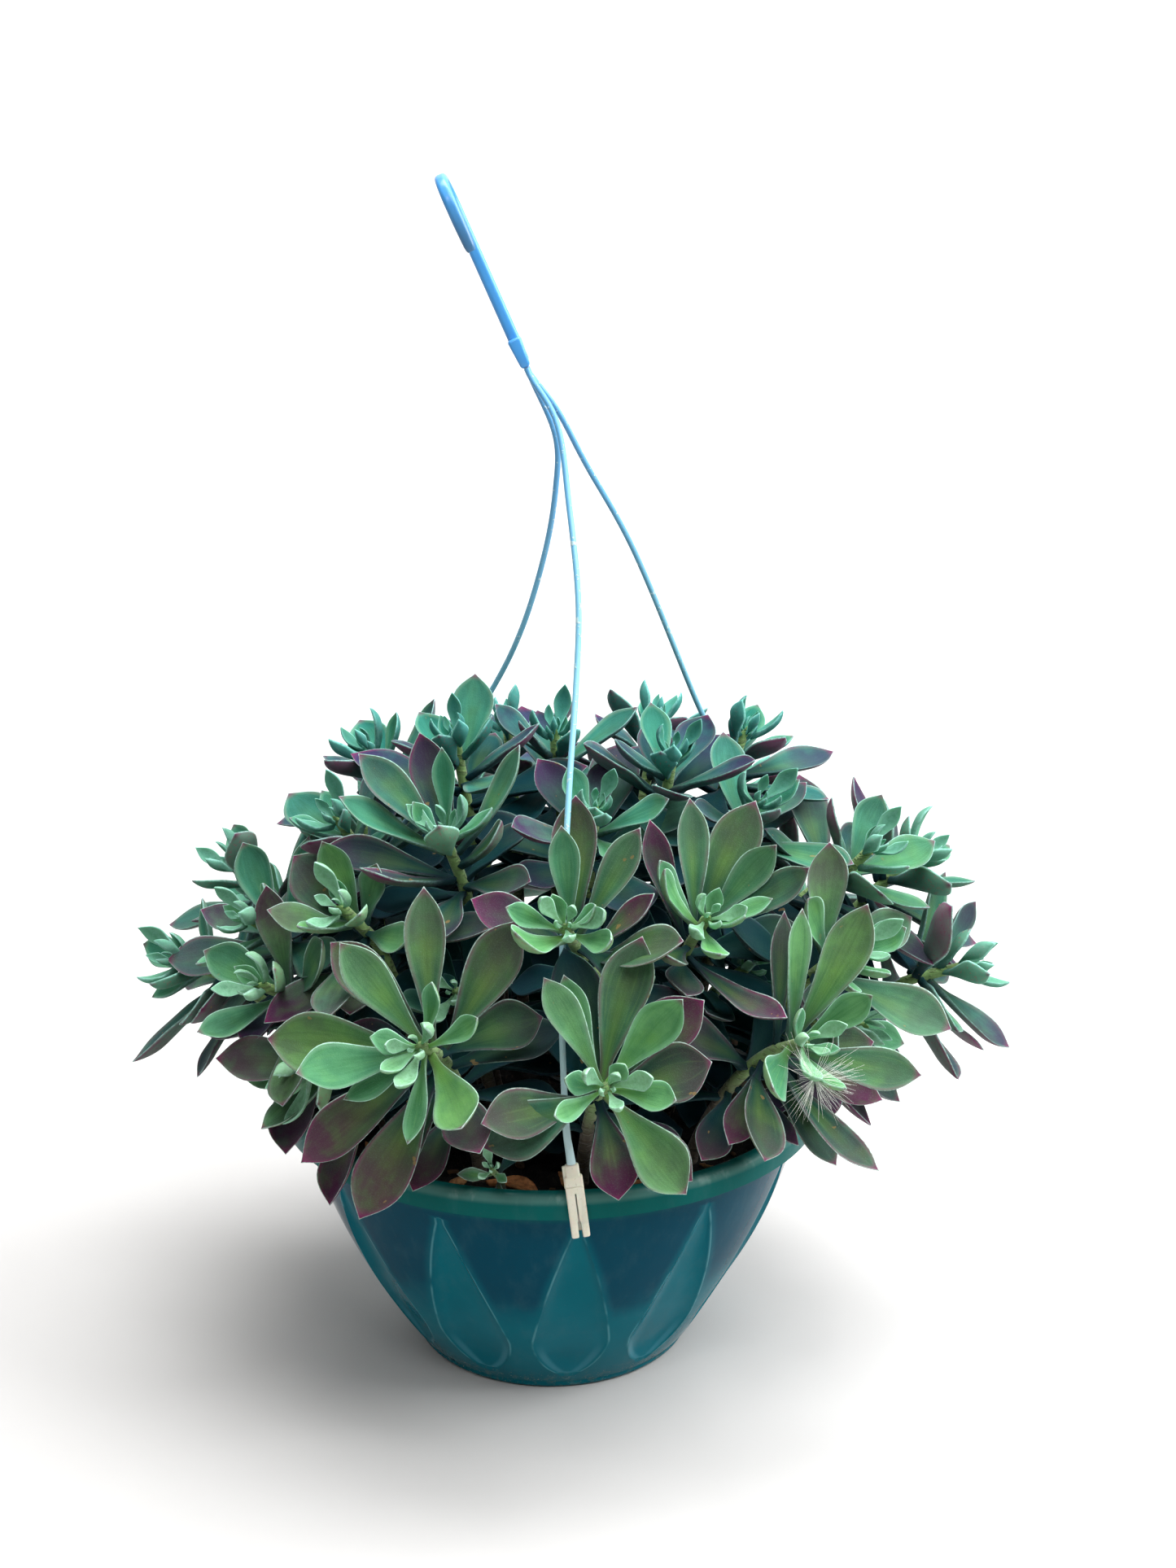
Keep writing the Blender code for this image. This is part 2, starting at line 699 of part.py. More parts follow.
def bent_leaf(leaf, turn, lift, scale):
    base, tip, axis, bow, width = leaf
    chord = tip - base
    side = chord.cross(axis)
    side = side.normalized() if side.length > 1e-6 else chord.orthogonal().normalized()
    chord = Matrix.Rotation(math.radians(lift), 3, side) @ chord
    chord = Matrix.Rotation(math.radians(turn), 3, axis) @ chord
    return base, base + chord * scale, axis, bow * scale, width * math.sqrt(scale)


def leaf_tree(leaf, grow, start):
    mesh = leaf_mesh(leaf, grow, start)
    tree = tree_of([mesh])
    bpy.data.meshes.remove(mesh)
    return tree


def place_leaves(stems, fixed):
    # Grows each rosette's leaves in turn and bends each one clear of what is there already.
    choices = bend_choices()
    grown = {}
    dropped = 0
    fixed_tree = tree_of(fixed)
    stem_trees = {name: (tree_of([stem["mesh"]]), stem["route"]) for name, stem in stems.items()}
    leaf_trees = {}
    for name, stem in stems.items():
        centre = stem["route"][-1]
        near = [tree for other, (tree, route) in stem_trees.items()
                if other != name and (route[-1] - centre).length < neighbour_reach]
        near += [tree for other, tree in leaf_trees.items()
                 if (stems[other]["route"][-1] - centre).length < neighbour_reach]
        kept = []
        blades = []
        for leaf in stem["plan"]:
            for _, turn, lift, scale in choices:
                trial = bent_leaf(leaf, turn, lift, scale)
                tree = leaf_tree(trial, leaf_room, 0.0)
                if fixed_tree.overlap(tree) or any(other.overlap(tree) for other in near):
                    continue
                blade = leaf_tree(trial, 0.0, blade_start)
                if any(other.overlap(blade) for other in blades):
                    continue
                kept.append(trial)
                blades.append(blade)
                break
            else:
                dropped += 1
        grown[name] = kept
        leaf_trees[name] = tree_of([leaf_mesh(leaf) for leaf in kept])
    print(f"leaves kept {sum(len(row) for row in grown.values())}, left out {dropped}")
    return grown


def spread_roots(spots):
    # Root places in the soil: pulled in from each rosette, then pushed apart.
    places = []
    for name, centre, *_ in spots:
        far = math.hypot(centre[0], centre[1]) * mm
        reach = pup_reach if name == "pup" else min(root_reach, root_pull * far)
        places.append(around(math.atan2(centre[0], -centre[1]), reach, 0))
    for _ in range(60):
        for a, b in combinations(places, 2):
            apart = a - b
            if apart.length < root_spacing:
                push = apart.normalized() * (0.5 * (root_spacing - apart.length))
                a += push
                b -= push
        for place in places:
            if place.length > root_limit:
                place *= root_limit / place.length
    # Each stem stands on the floor of its hole in the soil
    return [Vector((place.x, place.y, soil_top - soil_hole_depth + clearance)) for place in places]


def grow_stems(spots, cutters, fixed):
    stems = {}
    roots = spread_roots(spots)
    trees = [tree_of(fixed)]
    for (name, centre, faced, longest, count, phase), root in zip(spots, roots):
        axis = direction(math.radians(faced[0]), math.radians(faced[1]))
        centre = Vector(centre) * mm
        slim = 0.5 if name == "pup" else 1.0
        best = None
        for swing, (rise, pull) in product(stem_swings, stem_bows):
            swung = Matrix.Rotation(math.radians(swing), 3, "Z") @ root
            route = stem_route(swung, centre, axis, rise, pull)
            last = len(route) - 1
            radii = [slim * blend(stem_root_radius, stem_tip_radius, k / last) for k in range(last + 1)]
            mesh = tube(f"stem_{name}", route, [r + stem_room for r in radii], cutters, 0)
            tree = tree_of([mesh])
            clashes = sum(len(other.overlap(tree)) for other in trees)
            bpy.data.meshes.remove(mesh)
            if best is None or clashes < best[0]:
                best = (clashes, route, radii)
            if clashes == 0:
                break
        if best[0]:
            print("stem still touches", name, best[0])
        bud = best[1][-1] + axis * (slim * bud_length)
        mesh = tube(f"stem_{name}", [*best[1], bud], [*best[2], bud_tip_radius], cutters, 0)
        trees.append(tree_of([mesh]))
        stems[name] = {"route": best[1], "radii": best[2], "mesh": mesh,
                       "plan": leaf_plan(name, best[1], axis, longest, count, phase)}
    return stems


def bodies_of(work):
    # The separate closed bodies of a mesh as lists of faces joined along edges, the smallest
    # first.
    seen = set()
    bodies = []
    for start in work.faces:
        if start in seen:
            continue
        stack = [start]
        seen.add(start)
        body = []
        while stack:
            face = stack.pop()
            body.append(face)
            for other in {other for edge in face.edges for other in edge.link_faces} - seen:
                seen.add(other)
                stack.append(other)
        bodies.append(body)
    return sorted(bodies, key=len)


def is_sound(work):
    # True for a closed surface that nowhere passes through itself.
    if any(len(edge.link_faces) != 2 for edge in work.edges):
        return False
    work.faces.ensure_lookup_table()
    tree = BVHTree.FromBMesh(work)
    for a, b in tree.overlap(tree):
        if a < b and not set(work.faces[a].verts) & set(work.faces[b].verts):
            return False
    return True


def turn_shared_diagonals(work):
    # Cutting two flat faces into triangles can give both the same diagonal. One of the pair
    # gets its other diagonal.
    for edge in [edge for edge in work.edges if len(edge.link_faces) == 4]:
        a, b = edge.verts
        for one, two in combinations(edge.link_faces, 2):
            if one.normal.dot(two.normal) < 0.999:
                continue
            c = next(v for v in one.verts if v not in (a, b))
            d = next(v for v in two.verts if v not in (a, b))
            if work.edges.get((c, d)):
                continue
            normal = one.normal.copy()
            bmesh.ops.delete(work, geom=[one, two], context="FACES_ONLY")
            for corners in ((a, c, d), (b, c, d)):
                face = work.faces.new(corners)
                face.normal_update()
                if face.normal.dot(normal) < 0:
                    face.normal_flip()
            break


def tidy_fused(mesh):
    # Drops the loose scraps and sealed hollows that fusing leaves, and closes up the specks
    # where blades cross, as far as the surface stays sound.
    specks = (0.9 * mm, 0.6 * mm, 0.35 * mm, 0.15 * mm, 0.02 * mm, 0.0)
    for speck, cut in ((speck, cut) for speck in specks for cut in ("BEAUTY", "EAR_CLIP")):
        work = bmesh.new()
        work.from_mesh(mesh)
        for body in bodies_of(work)[:-1]:
            bmesh.ops.delete(work, geom=body, context="FACES")
        if speck:
            bmesh.ops.remove_doubles(work, verts=work.verts, dist=speck)
            bmesh.ops.dissolve_degenerate(work, edges=work.edges, dist=0.01 * mm)
        bmesh.ops.triangulate(work, faces=work.faces, ngon_method=cut)
        turn_shared_diagonals(work)
        sound = is_sound(work) and len(bodies_of(work)) == 1
        if sound:
            work.to_mesh(mesh)
        work.free()
        if sound:
            return True
    return False


def fuse_rosette(body, leaves):
    # One union of the stem with all its blades. Where blades meet edge on edge the blades
    # are shifted a hair along the stem and fused again.
    for attempt in range(9):
        blades = make_collection("blades")
        for k, leaf in enumerate(leaves):
            blade = leaf_mesh(leaf)
            shift = (attempt + 2) // 3 * fuse_shift * ((k + attempt * (k // 3)) % 3 - 1)
            blade.transform(Matrix.Translation(leaf[2] * shift))
            add_object("blade", blade, blades)
        fuse = use_boolean(body, "Fuse", "UNION", group=blades)
        meshes = []
        for solver in ("EXACT", "MANIFOLD"):
            fuse.solver = solver
            meshes.append(mesh_of(body, weld=False))
        body.modifiers.clear()
        for blade in list(blades.objects):
            bpy.data.objects.remove(blade)
        bpy.data.collections.remove(blades)
        for mesh in meshes:
            if tidy_fused(mesh):
                return mesh
    print("not one sound body", body.name)
    return meshes[0]


def make_rosettes(group, stems, grown, material):
    for name, stem in stems.items():
        body = add_object(f"rosette_{name}", stem["mesh"], group)
        body.data = fuse_rosette(body, grown[name])
        body.data.materials.append(material)


# Soil

def make_soil(group, cutters, stems, material):
    gap = pot_sheet + soil_wall_gap
    points = [(0.0, soil_top + soil_crown), (wall_radius(soil_top) - gap, soil_top)]
    for z in (100 * mm, 40 * mm):
        points.append((wall_radius(z) - gap - 0.8 * mm - flute_hollow(z), z))
    points.append((pot_base_radius - 4 * mm, pot_sheet + clearance))
    points.append((0.0, pot_sheet + clearance))
    soil = add_object("soil", spin_profile("soil_spun", points, soil_sides, cutters), group, material)
    holes = make_collection("stem_holes")
    for name, stem in stems.items():
        root = stem["route"][0]
        radius = (stem["radii"][0] + 2 * clearance) / math.cos(math.pi / soil_hole_sides)
        low = soil_top - soil_hole_depth
        bpy.ops.mesh.primitive_cylinder_add(vertices=soil_hole_sides, radius=radius, depth=40 * mm,
                                            location=(root.x, root.y, low + 20 * mm))
        hole = bpy.context.object
        hole.name = f"hole_{name}"
        bpy.context.scene.collection.objects.unlink(hole)
        holes.objects.link(hole)
    use_boolean(soil, "Stem holes", "DIFFERENCE", group=holes)
    drilled = mesh_of(soil)
    soil.modifiers.clear()
    soil.data = drilled
    soil.data.materials.clear()
    soil.data.materials.append(material)
    for hole in list(holes.objects):
        bpy.data.objects.remove(hole)
    bpy.data.collections.remove(holes)
    return soil


def main():
    clear_scene()
    group = make_collection("potted_echeveria")
    cutters = make_collection("cutters")
    plastic = make_material("green_plastic", (0.012, 0.115, 0.115), 0.22)
    earth = make_material("potting_soil", (0.035, 0.024, 0.018), 0.95)
    blue = make_material("blue_plastic", (0.07, 0.28, 0.56), 0.35)
    pale = make_material("pale_strand", (0.38, 0.62, 0.68), 0.35)
    cream = make_material("cream_plastic", (0.74, 0.72, 0.60), 0.4)
    green = make_material("felted_leaf", (0.16, 0.34, 0.13), 0.6)

    pot = make_pot(group, cutters, plastic)
    make_hook(group, cutters, blue)
    clips = [make_clip(f"clip_{name}", k, group, cutters, cream)
             for k, name in enumerate(("front", "right", "left"))]
    wide_strands = []
    for name, route in strand_routes().items():
        mesh = tube(f"strand_{name}", route, [strand_radius] * len(route), cutters, 1)
        add_object(f"strand_{name}", mesh, group, pale)
        wide_strands.append(tube("strand_room", route, [strand_radius + 0.6 * mm] * len(route), cutters, 1))

    fixed = [mesh_of(pot), *(mesh_of(clip) for clip in clips), *wide_strands]
    spots = all_rosettes()
    stems = grow_stems(spots, cutters, fixed)
    soil = make_soil(group, cutters, stems, earth)
    grown = place_leaves(stems, [*fixed, mesh_of(soil)])
    make_rosettes(group, stems, grown, green)


main()
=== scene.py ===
import math
import random
from itertools import combinations

import bmesh
import bpy
import numpy as np
from mathutils import Matrix, Vector, noise
from mathutils.kdtree import KDTree


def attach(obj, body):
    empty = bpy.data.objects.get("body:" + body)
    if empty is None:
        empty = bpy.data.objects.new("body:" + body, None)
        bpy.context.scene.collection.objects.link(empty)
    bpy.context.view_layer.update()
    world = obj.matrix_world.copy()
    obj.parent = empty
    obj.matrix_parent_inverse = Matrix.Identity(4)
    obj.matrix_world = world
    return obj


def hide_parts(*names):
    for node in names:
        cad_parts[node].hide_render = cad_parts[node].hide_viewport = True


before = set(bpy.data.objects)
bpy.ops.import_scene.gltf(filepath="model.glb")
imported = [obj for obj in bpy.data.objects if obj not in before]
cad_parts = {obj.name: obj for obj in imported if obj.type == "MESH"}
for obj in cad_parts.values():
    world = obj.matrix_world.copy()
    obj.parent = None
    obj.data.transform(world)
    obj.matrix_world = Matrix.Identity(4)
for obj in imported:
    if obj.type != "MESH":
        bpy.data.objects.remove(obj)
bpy.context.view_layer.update()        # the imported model, in metres, standing on z = 0
mm = 0.001
print("frame loaded with", len(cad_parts), "nodes")

cameraView = {
    "place": (0.017, -0.864, 0.497),
    "tilt": 75,              # degrees from straight down
    "focalPixels": 2450,
    "imageHeight": 1927,
    "sensor": 36,
}


def setCamera():
    cameraData = bpy.data.cameras.new("photoCamera")
    cameraData.sensor_fit = "VERTICAL"
    cameraData.sensor_width = cameraView["sensor"]
    cameraData.sensor_height = cameraView["sensor"]
    cameraData.lens = cameraView["focalPixels"] / cameraView["imageHeight"] * cameraView["sensor"]
    camera = bpy.data.objects.new("photoCamera", cameraData)
    bpy.context.scene.collection.objects.link(camera)
    camera.location = cameraView["place"]
    camera.rotation_euler = (math.radians(cameraView["tilt"]), 0, 0)
    bpy.context.scene.camera = camera


# Selecting, shaping and finishing

def deselectAll():
    bpy.ops.object.select_all(action="DESELECT")


def select(*pieces):
    deselectAll()
    for piece in pieces:
        piece.select_set(True)
    bpy.context.view_layer.objects.active = pieces[0]


def justMade(name):
    piece = bpy.context.object
    piece.name = name
    piece.data.name = name
    return piece


def placeInMesh(piece):
    # Puts the object's place, turn and scale into its mesh.
    select(piece)
    bpy.ops.object.transform_apply(location=True, rotation=True, scale=True)


def applyModifiers(piece):
    select(piece)
    for modifier in list(piece.modifiers):
        bpy.ops.object.modifier_apply(modifier=modifier.name)


def joined(pieces, name):
    select(*pieces)
    if len(pieces) > 1:
        bpy.ops.object.join()
    return justMade(name)


def smooth(piece, angle=40):
    select(piece)
    bpy.ops.object.shade_smooth_by_angle(angle=math.radians(angle))


def handOver(piece, slot, *nodes):
    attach(piece, "root")
    if nodes:
        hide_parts(*nodes)


def corners(piece):
    places = np.empty(len(piece.data.vertices) * 3)
    piece.data.vertices.foreach_get("co", places)
    return places.reshape(-1, 3)


def setCorners(piece, places):
    piece.data.vertices.foreach_set("co", np.asarray(places, dtype=np.float64).ravel())
    piece.data.update()


def setValues(piece, name, values):
    # A number for each vertex, which a material reads by its name.
    layer = piece.data.attributes.get(name) or piece.data.attributes.new(name, "FLOAT", "POINT")
    layer.data.foreach_set("value", np.broadcast_to(values, len(piece.data.vertices)).astype(np.float32))


# Shader sums written as Python

class Wire:
    def __init__(self, finish, socket):
        self.finish = finish
        self.socket = socket

    def __add__(self, other):
        return self.finish.node("ShaderNodeMath", {"operation": "ADD"}, [self, other])

    def __sub__(self, other):
        return self.finish.node("ShaderNodeMath", {"operation": "SUBTRACT"}, [self, other])

    def __rsub__(self, other):
        return self.finish.node("ShaderNodeMath", {"operation": "SUBTRACT"}, [other, self])

    def __mul__(self, other):
        return self.finish.node("ShaderNodeMath", {"operation": "MULTIPLY"}, [self, other])

    def __truediv__(self, other):
        return self.finish.node("ShaderNodeMath", {"operation": "DIVIDE"}, [self, other])

    def __pow__(self, other):
        return self.finish.node("ShaderNodeMath", {"operation": "POWER"}, [self, other])

    __radd__ = __add__
    __rmul__ = __mul__


class Finish:
    def __init__(self, name, **uniform):
        self.material = bpy.data.materials.new(name)
        self.material.use_nodes = True
        self.tree = self.material.node_tree
        self.shader = self.tree.nodes["Principled BSDF"]
        for key, value in uniform.items():
            self.shader.inputs[key.replace("_", " ")].default_value = value

    def node(self, kind, settings, values, out=0):
        made = self.tree.nodes.new(kind)
        for key, value in settings.items():
            if key == "stops":
                ramp = made.color_ramp
                while len(ramp.elements) < len(value):
                    ramp.elements.new(1.0)
                for element, (place, colour) in zip(ramp.elements, value):
                    element.position = place
                    element.color = colour
            else:
                setattr(made, key, value)
        for key, value in values.items() if isinstance(values, dict) else enumerate(values):
            if isinstance(value, Wire):
                self.tree.links.new(value.socket, made.inputs[key])
            else:
                made.inputs[key].default_value = value
        return Wire(self, made.outputs[out])

    def value(self, name):
        return self.node("ShaderNodeAttribute", {"attribute_name": name}, {}, "Fac")

    def place(self, stretch=(1, 1, 1)):
        objectPlace = self.node("ShaderNodeTexCoord", {}, {}, "Object")
        return self.node("ShaderNodeMapping", {}, {"Vector": objectPlace, "Scale": stretch})

    def mottle(self, size, detail=3, roughness=0.5, stretch=(1, 1, 1)):
        # Noise whose lumps are about the given size in millimetres.
        return self.node("ShaderNodeTexNoise", {}, {"Vector": self.place(stretch), "Scale": 1 / (size * mm),
                                                    "Detail": detail, "Roughness": roughness})

    def ease(self, wire, low, high, start=0.0, end=1.0):
        return self.node("ShaderNodeMapRange", {"interpolation_type": "SMOOTHSTEP"}, [wire, low, high, start, end])

    def mix(self, share, one, two):
        one, two = (value if isinstance(value, Wire) else (*value, 1.0) for value in (one, two))
        return self.node("ShaderNodeMix", {"data_type": "RGBA"}, {0: share, 6: one, 7: two}, 2)

    def bump(self, height, depth, strength=1.0):
        return self.node("ShaderNodeBump", {}, {"Height": height, "Distance": depth * mm, "Strength": strength})

    def feed(self, **wires):
        for key, wire in wires.items():
            self.tree.links.new(wire.socket, self.shader.inputs[key.replace("_", " ")])
        return self.material

# The fluted bowl

bowl = {
    "rimRadius": 125, "rimTop": 125.4, "lipBottom": 114.8, "sheet": 1.8,
    "baseRadius": 60, "footRound": 3.5,
    "wallStart": 62.9, "wallSlope": 0.7163, "wallBend": 0.002163,
    "flutes": 12, "fluteTurn": 6.5, "columnsInFlute": 10, "columnsBetween": 6,
    "fluteTop": 106, "fluteWidest": 34, "fluteBottom": 10, "fluteHalf": 11.5, "fluteDepth": 4.2,
    "drains": 5, "drainRadius": 4, "drainCircle": 38,
}


def wallRadius(z):
    return bowl["wallStart"] + bowl["wallSlope"] * z - bowl["wallBend"] * z * z


def fluteHalf(z):
    # Half a flute's angle in degrees: pointed at the top, round at the foot.
    if z >= bowl["fluteWidest"]:
        share = (bowl["fluteTop"] - z) / (bowl["fluteTop"] - bowl["fluteWidest"])
        return bowl["fluteHalf"] * max(0.05, share) ** 0.9
    drop = (bowl["fluteWidest"] - z) / (bowl["fluteWidest"] - bowl["fluteBottom"])
    return bowl["fluteHalf"] * math.sqrt(max(0.05, 1 - drop * drop))


def fluteDepth(z):
    if not bowl["fluteBottom"] < z < bowl["fluteTop"]:
        return 0.0
    rise = min(1.0, (bowl["fluteTop"] - z) / 46)
    fall = min(1.0, (z - bowl["fluteBottom"]) / 14)
    return bowl["fluteDepth"] * math.sin(0.5 * math.pi * rise) * math.sin(0.5 * math.pi * fall)


def bowlProfile():
    # Radius and height, from the lip's lower edge over the rim and down the wall to the foot.
    lip = bowl["rimRadius"] - bowl["sheet"]
    inner = wallRadius(112) + 1.6
    bend = 0.5 * (lip - inner)
    top = bowl["rimTop"] - bowl["sheet"] - bend
    profile = [(lip - 0.3, bowl["lipBottom"]), (lip, bowl["lipBottom"] + 3), (lip, top)]
    for step in range(1, 17):
        turn = math.pi * step / 16
        profile.append((inner + bend + bend * math.cos(turn), top + bend * math.sin(turn)))
    profile += [(wallRadius(z) + 1.6 * max(0.0, (z - 108) / 12), z) for z in range(117, 6, -3)]
    middle = (bowl["baseRadius"] + 1.5, bowl["footRound"])
    for step in range(0, 10):
        turn = 0.5 * math.pi * step / 9
        profile.append((middle[0] + bowl["footRound"] * math.cos(turn), middle[1] - bowl["footRound"] * math.sin(turn)))
    return profile


def turnedShell(name, profile, columns):
    # A ring of edges is drawn out along the profile, then closed with a disc.
    radius, height = profile[0]
    bpy.ops.mesh.primitive_circle_add(vertices=columns, radius=radius * mm, fill_type="NOTHING",
                                      location=(0, 0, height * mm))
    shell = justMade(name)
    placeInMesh(shell)
    bpy.ops.object.mode_set(mode="EDIT")
    bpy.ops.mesh.select_mode(type="EDGE")
    bpy.ops.mesh.select_all(action="SELECT")
    for radius, height in profile[1:]:
        bpy.ops.mesh.extrude_region_move()
        ring = bmesh.from_edit_mesh(shell.data)
        for vertex in ring.verts:
            if vertex.select:
                flat = Vector((vertex.co.x, vertex.co.y, 0)).normalized() * (radius * mm)
                vertex.co = (flat.x, flat.y, height * mm)
        bmesh.update_edit_mesh(shell.data)
    bpy.ops.mesh.edge_face_add()
    bpy.ops.mesh.select_all(action="SELECT")
    bpy.ops.mesh.normals_make_consistent(inside=False)
    bpy.ops.object.mode_set(mode="OBJECT")
    return shell


def cutFlutes(shell):
    # Columns of the wall slide onto the flutes' edges, and those in a flute sink in.
    perFlute = bowl["columnsInFlute"] + bowl["columnsBetween"]
    columns = perFlute * bowl["flutes"]
    pitch = 360 / bowl["flutes"]
    between = bowl["columnsBetween"] + 1
    places = corners(shell)
    for index, (x, y, z) in enumerate(places):
        radius = math.hypot(x, y) / mm
        height = z / mm
        column = round(math.degrees(math.atan2(x, -y)) / (360 / columns)) % columns
        flute, step = divmod(column, perFlute)
        onWall = 4 < height < 112 and radius < wallRadius(height) + 1
        half = fluteHalf(height) if onWall else fluteHalf(40)
        if step < bowl["columnsInFlute"]:
            share = 2 * step / (bowl["columnsInFlute"] - 1) - 1
            turn = half * share
            if onWall:
                radius -= fluteDepth(height) * (1 - abs(share) ** 3.2)
        else:
            turn = half + (pitch - 2 * half) * (step - bowl["columnsInFlute"] + 1) / between
        turn = math.radians(bowl["fluteTurn"] + flute * pitch + turn)
        places[index] = (radius * mm * math.sin(turn), -radius * mm * math.cos(turn), z)
    setCorners(shell, places)


def makeBowl(finish):
    columns = (bowl["columnsInFlute"] + bowl["columnsBetween"]) * bowl["flutes"]
    pot = turnedShell("bowl", bowlProfile(), columns)
    cutFlutes(pot)
    sheet = pot.modifiers.new("sheet", "SOLIDIFY")
    sheet.thickness = bowl["sheet"] * mm
    sheet.offset = 1
    sheet.use_even_offset = True
    applyModifiers(pot)
    drills = []
    for k in range(bowl["drains"]):
        turn = 2 * math.pi * k / bowl["drains"]
        spot = Vector((math.sin(turn), -math.cos(turn), 0)) * bowl["drainCircle"] * mm
        bpy.ops.mesh.primitive_cylinder_add(vertices=32, radius=bowl["drainRadius"] * mm, depth=10 * mm, location=spot)
        drills.append(justMade("drill"))
    drill = joined(drills, "drill")
    cut = pot.modifiers.new("drains", "BOOLEAN")
    cut.object = drill
    cut.operation = "DIFFERENCE"
    applyModifiers(pot)
    bpy.data.objects.remove(drill)
    smooth(pot, 14)
    places = corners(pot) / mm
    heights = places[:, 2]
    turns = np.degrees(np.arctan2(places[:, 0], -places[:, 1])) - bowl["fluteTurn"]
    turns = np.abs((turns + 15) % 30 - 15)
    halves = np.array([fluteHalf(height) for height in heights])
    onFlank = (heights > 9) & (heights < 108)
    apart = np.radians(turns - halves) * np.hypot(places[:, 0], places[:, 1])
    setValues(pot, "fluteEdge", np.where(onFlank, np.clip(apart, -9, 9), 9))
    pot.data.materials.clear()
    pot.data.materials.append(finish)
    handOver(pot, "pot", "pot")
    print("bowl turned and fluted")
    return pot


def bowlPlastic():
    plastic = Finish("moulded green plastic", IOR=1.46, Specular_IOR_Level=0.05)
    height = plastic.node("ShaderNodeSeparateXYZ", {}, [plastic.place()], "Z") / mm
    edge = plastic.value("fluteEdge")
    cloud = plastic.mottle(34, 4)
    film = plastic.ease(plastic.mottle(9, 5, 0.6, (1, 1, 0.35)), 0.48, 0.72)
    low = plastic.ease(height, 16, 0.5)
    deep = plastic.mix(cloud, (0.0003, 0.095, 0.130), (0.0008, 0.140, 0.180))
    # Painted reflections: navy tongues high on the wall between the flutes are a painted dark reflection, and a hazier
    # blue low in them is a painted reflection of the bright floor
    paintedDarkReflection = plastic.ease(edge + cloud * 4, -1.0, 7.0) * plastic.ease(height + cloud * 36, 60, 84)
    deep = plastic.mix(paintedDarkReflection * 0.72, deep, (0.0004, 0.024, 0.058))
    # Paler blue low in the flutes: a painted reflection of the bright floor
    hazeAndPaintedReflection = plastic.ease(height, 70, 22) * plastic.ease(edge, 0.5, -5.0) * plastic.ease(cloud, 0.3, 0.7, 0.4, 1.0)
    deep = plastic.mix(hazeAndPaintedReflection * 0.14, deep, (0.060, 0.270, 0.360))
    # A soft paler curve low in each flute's round bottom: a painted highlight
    paintedHollowHighlight = plastic.ease(height, 34, 20) * plastic.ease(edge, -5.0, -2.6) * plastic.ease(edge, -0.4, -1.8)
    deep = plastic.mix(paintedHollowHighlight * 0.30, deep, (0.120, 0.340, 0.420))
    deep = plastic.mix(plastic.ease(height, 107, 113), deep, (0.0010, 0.098, 0.092))
    # A lighter band on the rim's crown, broken up by the film: a painted highlight
    crown = plastic.ease(height, 120.5, 123.0) * plastic.ease(height, 125.6, 124.0) * plastic.ease(film, 0.0, 1.0, 0.5, 1.0)
    deep = plastic.mix(crown * 0.75, deep, (0.190, 0.350, 0.310))
    # A broken bright line along each flute's edge: a painted highlight
    wearAndEdgeHighlight = plastic.ease(edge, -0.6, 0.0) * plastic.ease(edge, 0.9, 0.3) * plastic.ease(plastic.mottle(20, 2), 0.42, 0.6)
    deep = plastic.mix(wearAndEdgeHighlight * 0.5, deep, (0.110, 0.330, 0.370))
    dusty = plastic.mix(film * 0.05, deep, (0.16, 0.26, 0.27))
    # Dried splashes and grit gather round the foot
    grit = plastic.ease(plastic.mottle(1.1, 2, 0.6), 0.66, 0.70) * (low * 0.8 + 0.02)
    crust = plastic.ease(plastic.mottle(5, 4, 0.7), 0.50, 0.62) * low * 0.35
    dirty = plastic.mix(crust, dusty, (0.14, 0.18, 0.15))
    colour = plastic.mix(grit, dirty, (0.30, 0.27, 0.20))
    scratch = plastic.mottle(0.8, 2, 0.5, (1, 1, 6))
    roughness = film * 0.10 + crust * 0.5 + grit * 0.5 + scratch * 0.03 + 0.08
    ripple = plastic.mottle(14, 2) * 1.2 + plastic.mottle(0.5, 2) * 0.03
    return plastic.feed(Base_Color=colour, Roughness=roughness, Normal=plastic.bump(ripple + grit, 0.14, 0.5))


# Potting soil with its litter

bed = {
    "top": 112, "crown": 3, "gap": 0.7, "rings": 26, "columns": 96,
    "lumps": 3.2, "chips": 150,
}


def makeSoil(finish):
    outer = wallRadius(bed["top"]) - bowl["sheet"] - bed["gap"]
    profile = [(bowl["baseRadius"] - 4, 2.2)]
    profile += [(wallRadius(z) - bowl["sheet"] - 1 - bowl["fluteDepth"] * 0.9, z) for z in (8, 24, 40, 60, 80, 96)]
    profile += [(outer, bed["top"] - 3), (outer, bed["top"] - 1)]
    for step in range(1, bed["rings"]):
        share = 1 - step / bed["rings"]
        profile.append((outer * share, bed["top"] + bed["crown"] * (1 - share * share)))
    soil = turnedShell("soil bed", profile, bed["columns"])
    select(soil)
    bpy.ops.object.mode_set(mode="EDIT")
    bpy.ops.mesh.select_all(action="DESELECT")
    ring = bmesh.from_edit_mesh(soil.data)
    for vertex in ring.verts:
        vertex.select = abs(vertex.co.z - profile[0][1] * mm) < 0.01 * mm
    ring.select_flush(True)
    bpy.ops.mesh.edge_face_add()
    bpy.ops.mesh.select_all(action="SELECT")
    bpy.ops.mesh.normals_make_consistent(inside=False)
    bpy.ops.object.mode_set(mode="OBJECT")
    places = corners(soil)
    for index, (x, y, z) in enumerate(places):
        if z > (bed["top"] - 2) * mm:
            spot = Vector((x, y, 0)) / mm
            lump = noise.fractal(spot / 14, 0.8, 2.1, 4) * bed["lumps"] + noise.noise(spot / 3.5) * 1.2
            places[index][2] = min(z + lump * mm - 0.5 * mm, (bed["top"] + 7) * mm)
    setCorners(soil, places)
    smooth(soil, 60)
    soil.name = "soil_bed"
    soil.data.materials.clear()
    soil.data.materials.append(finish)
    handOver(soil, "soil", "soil")
    print("soil filled in")
    return soil


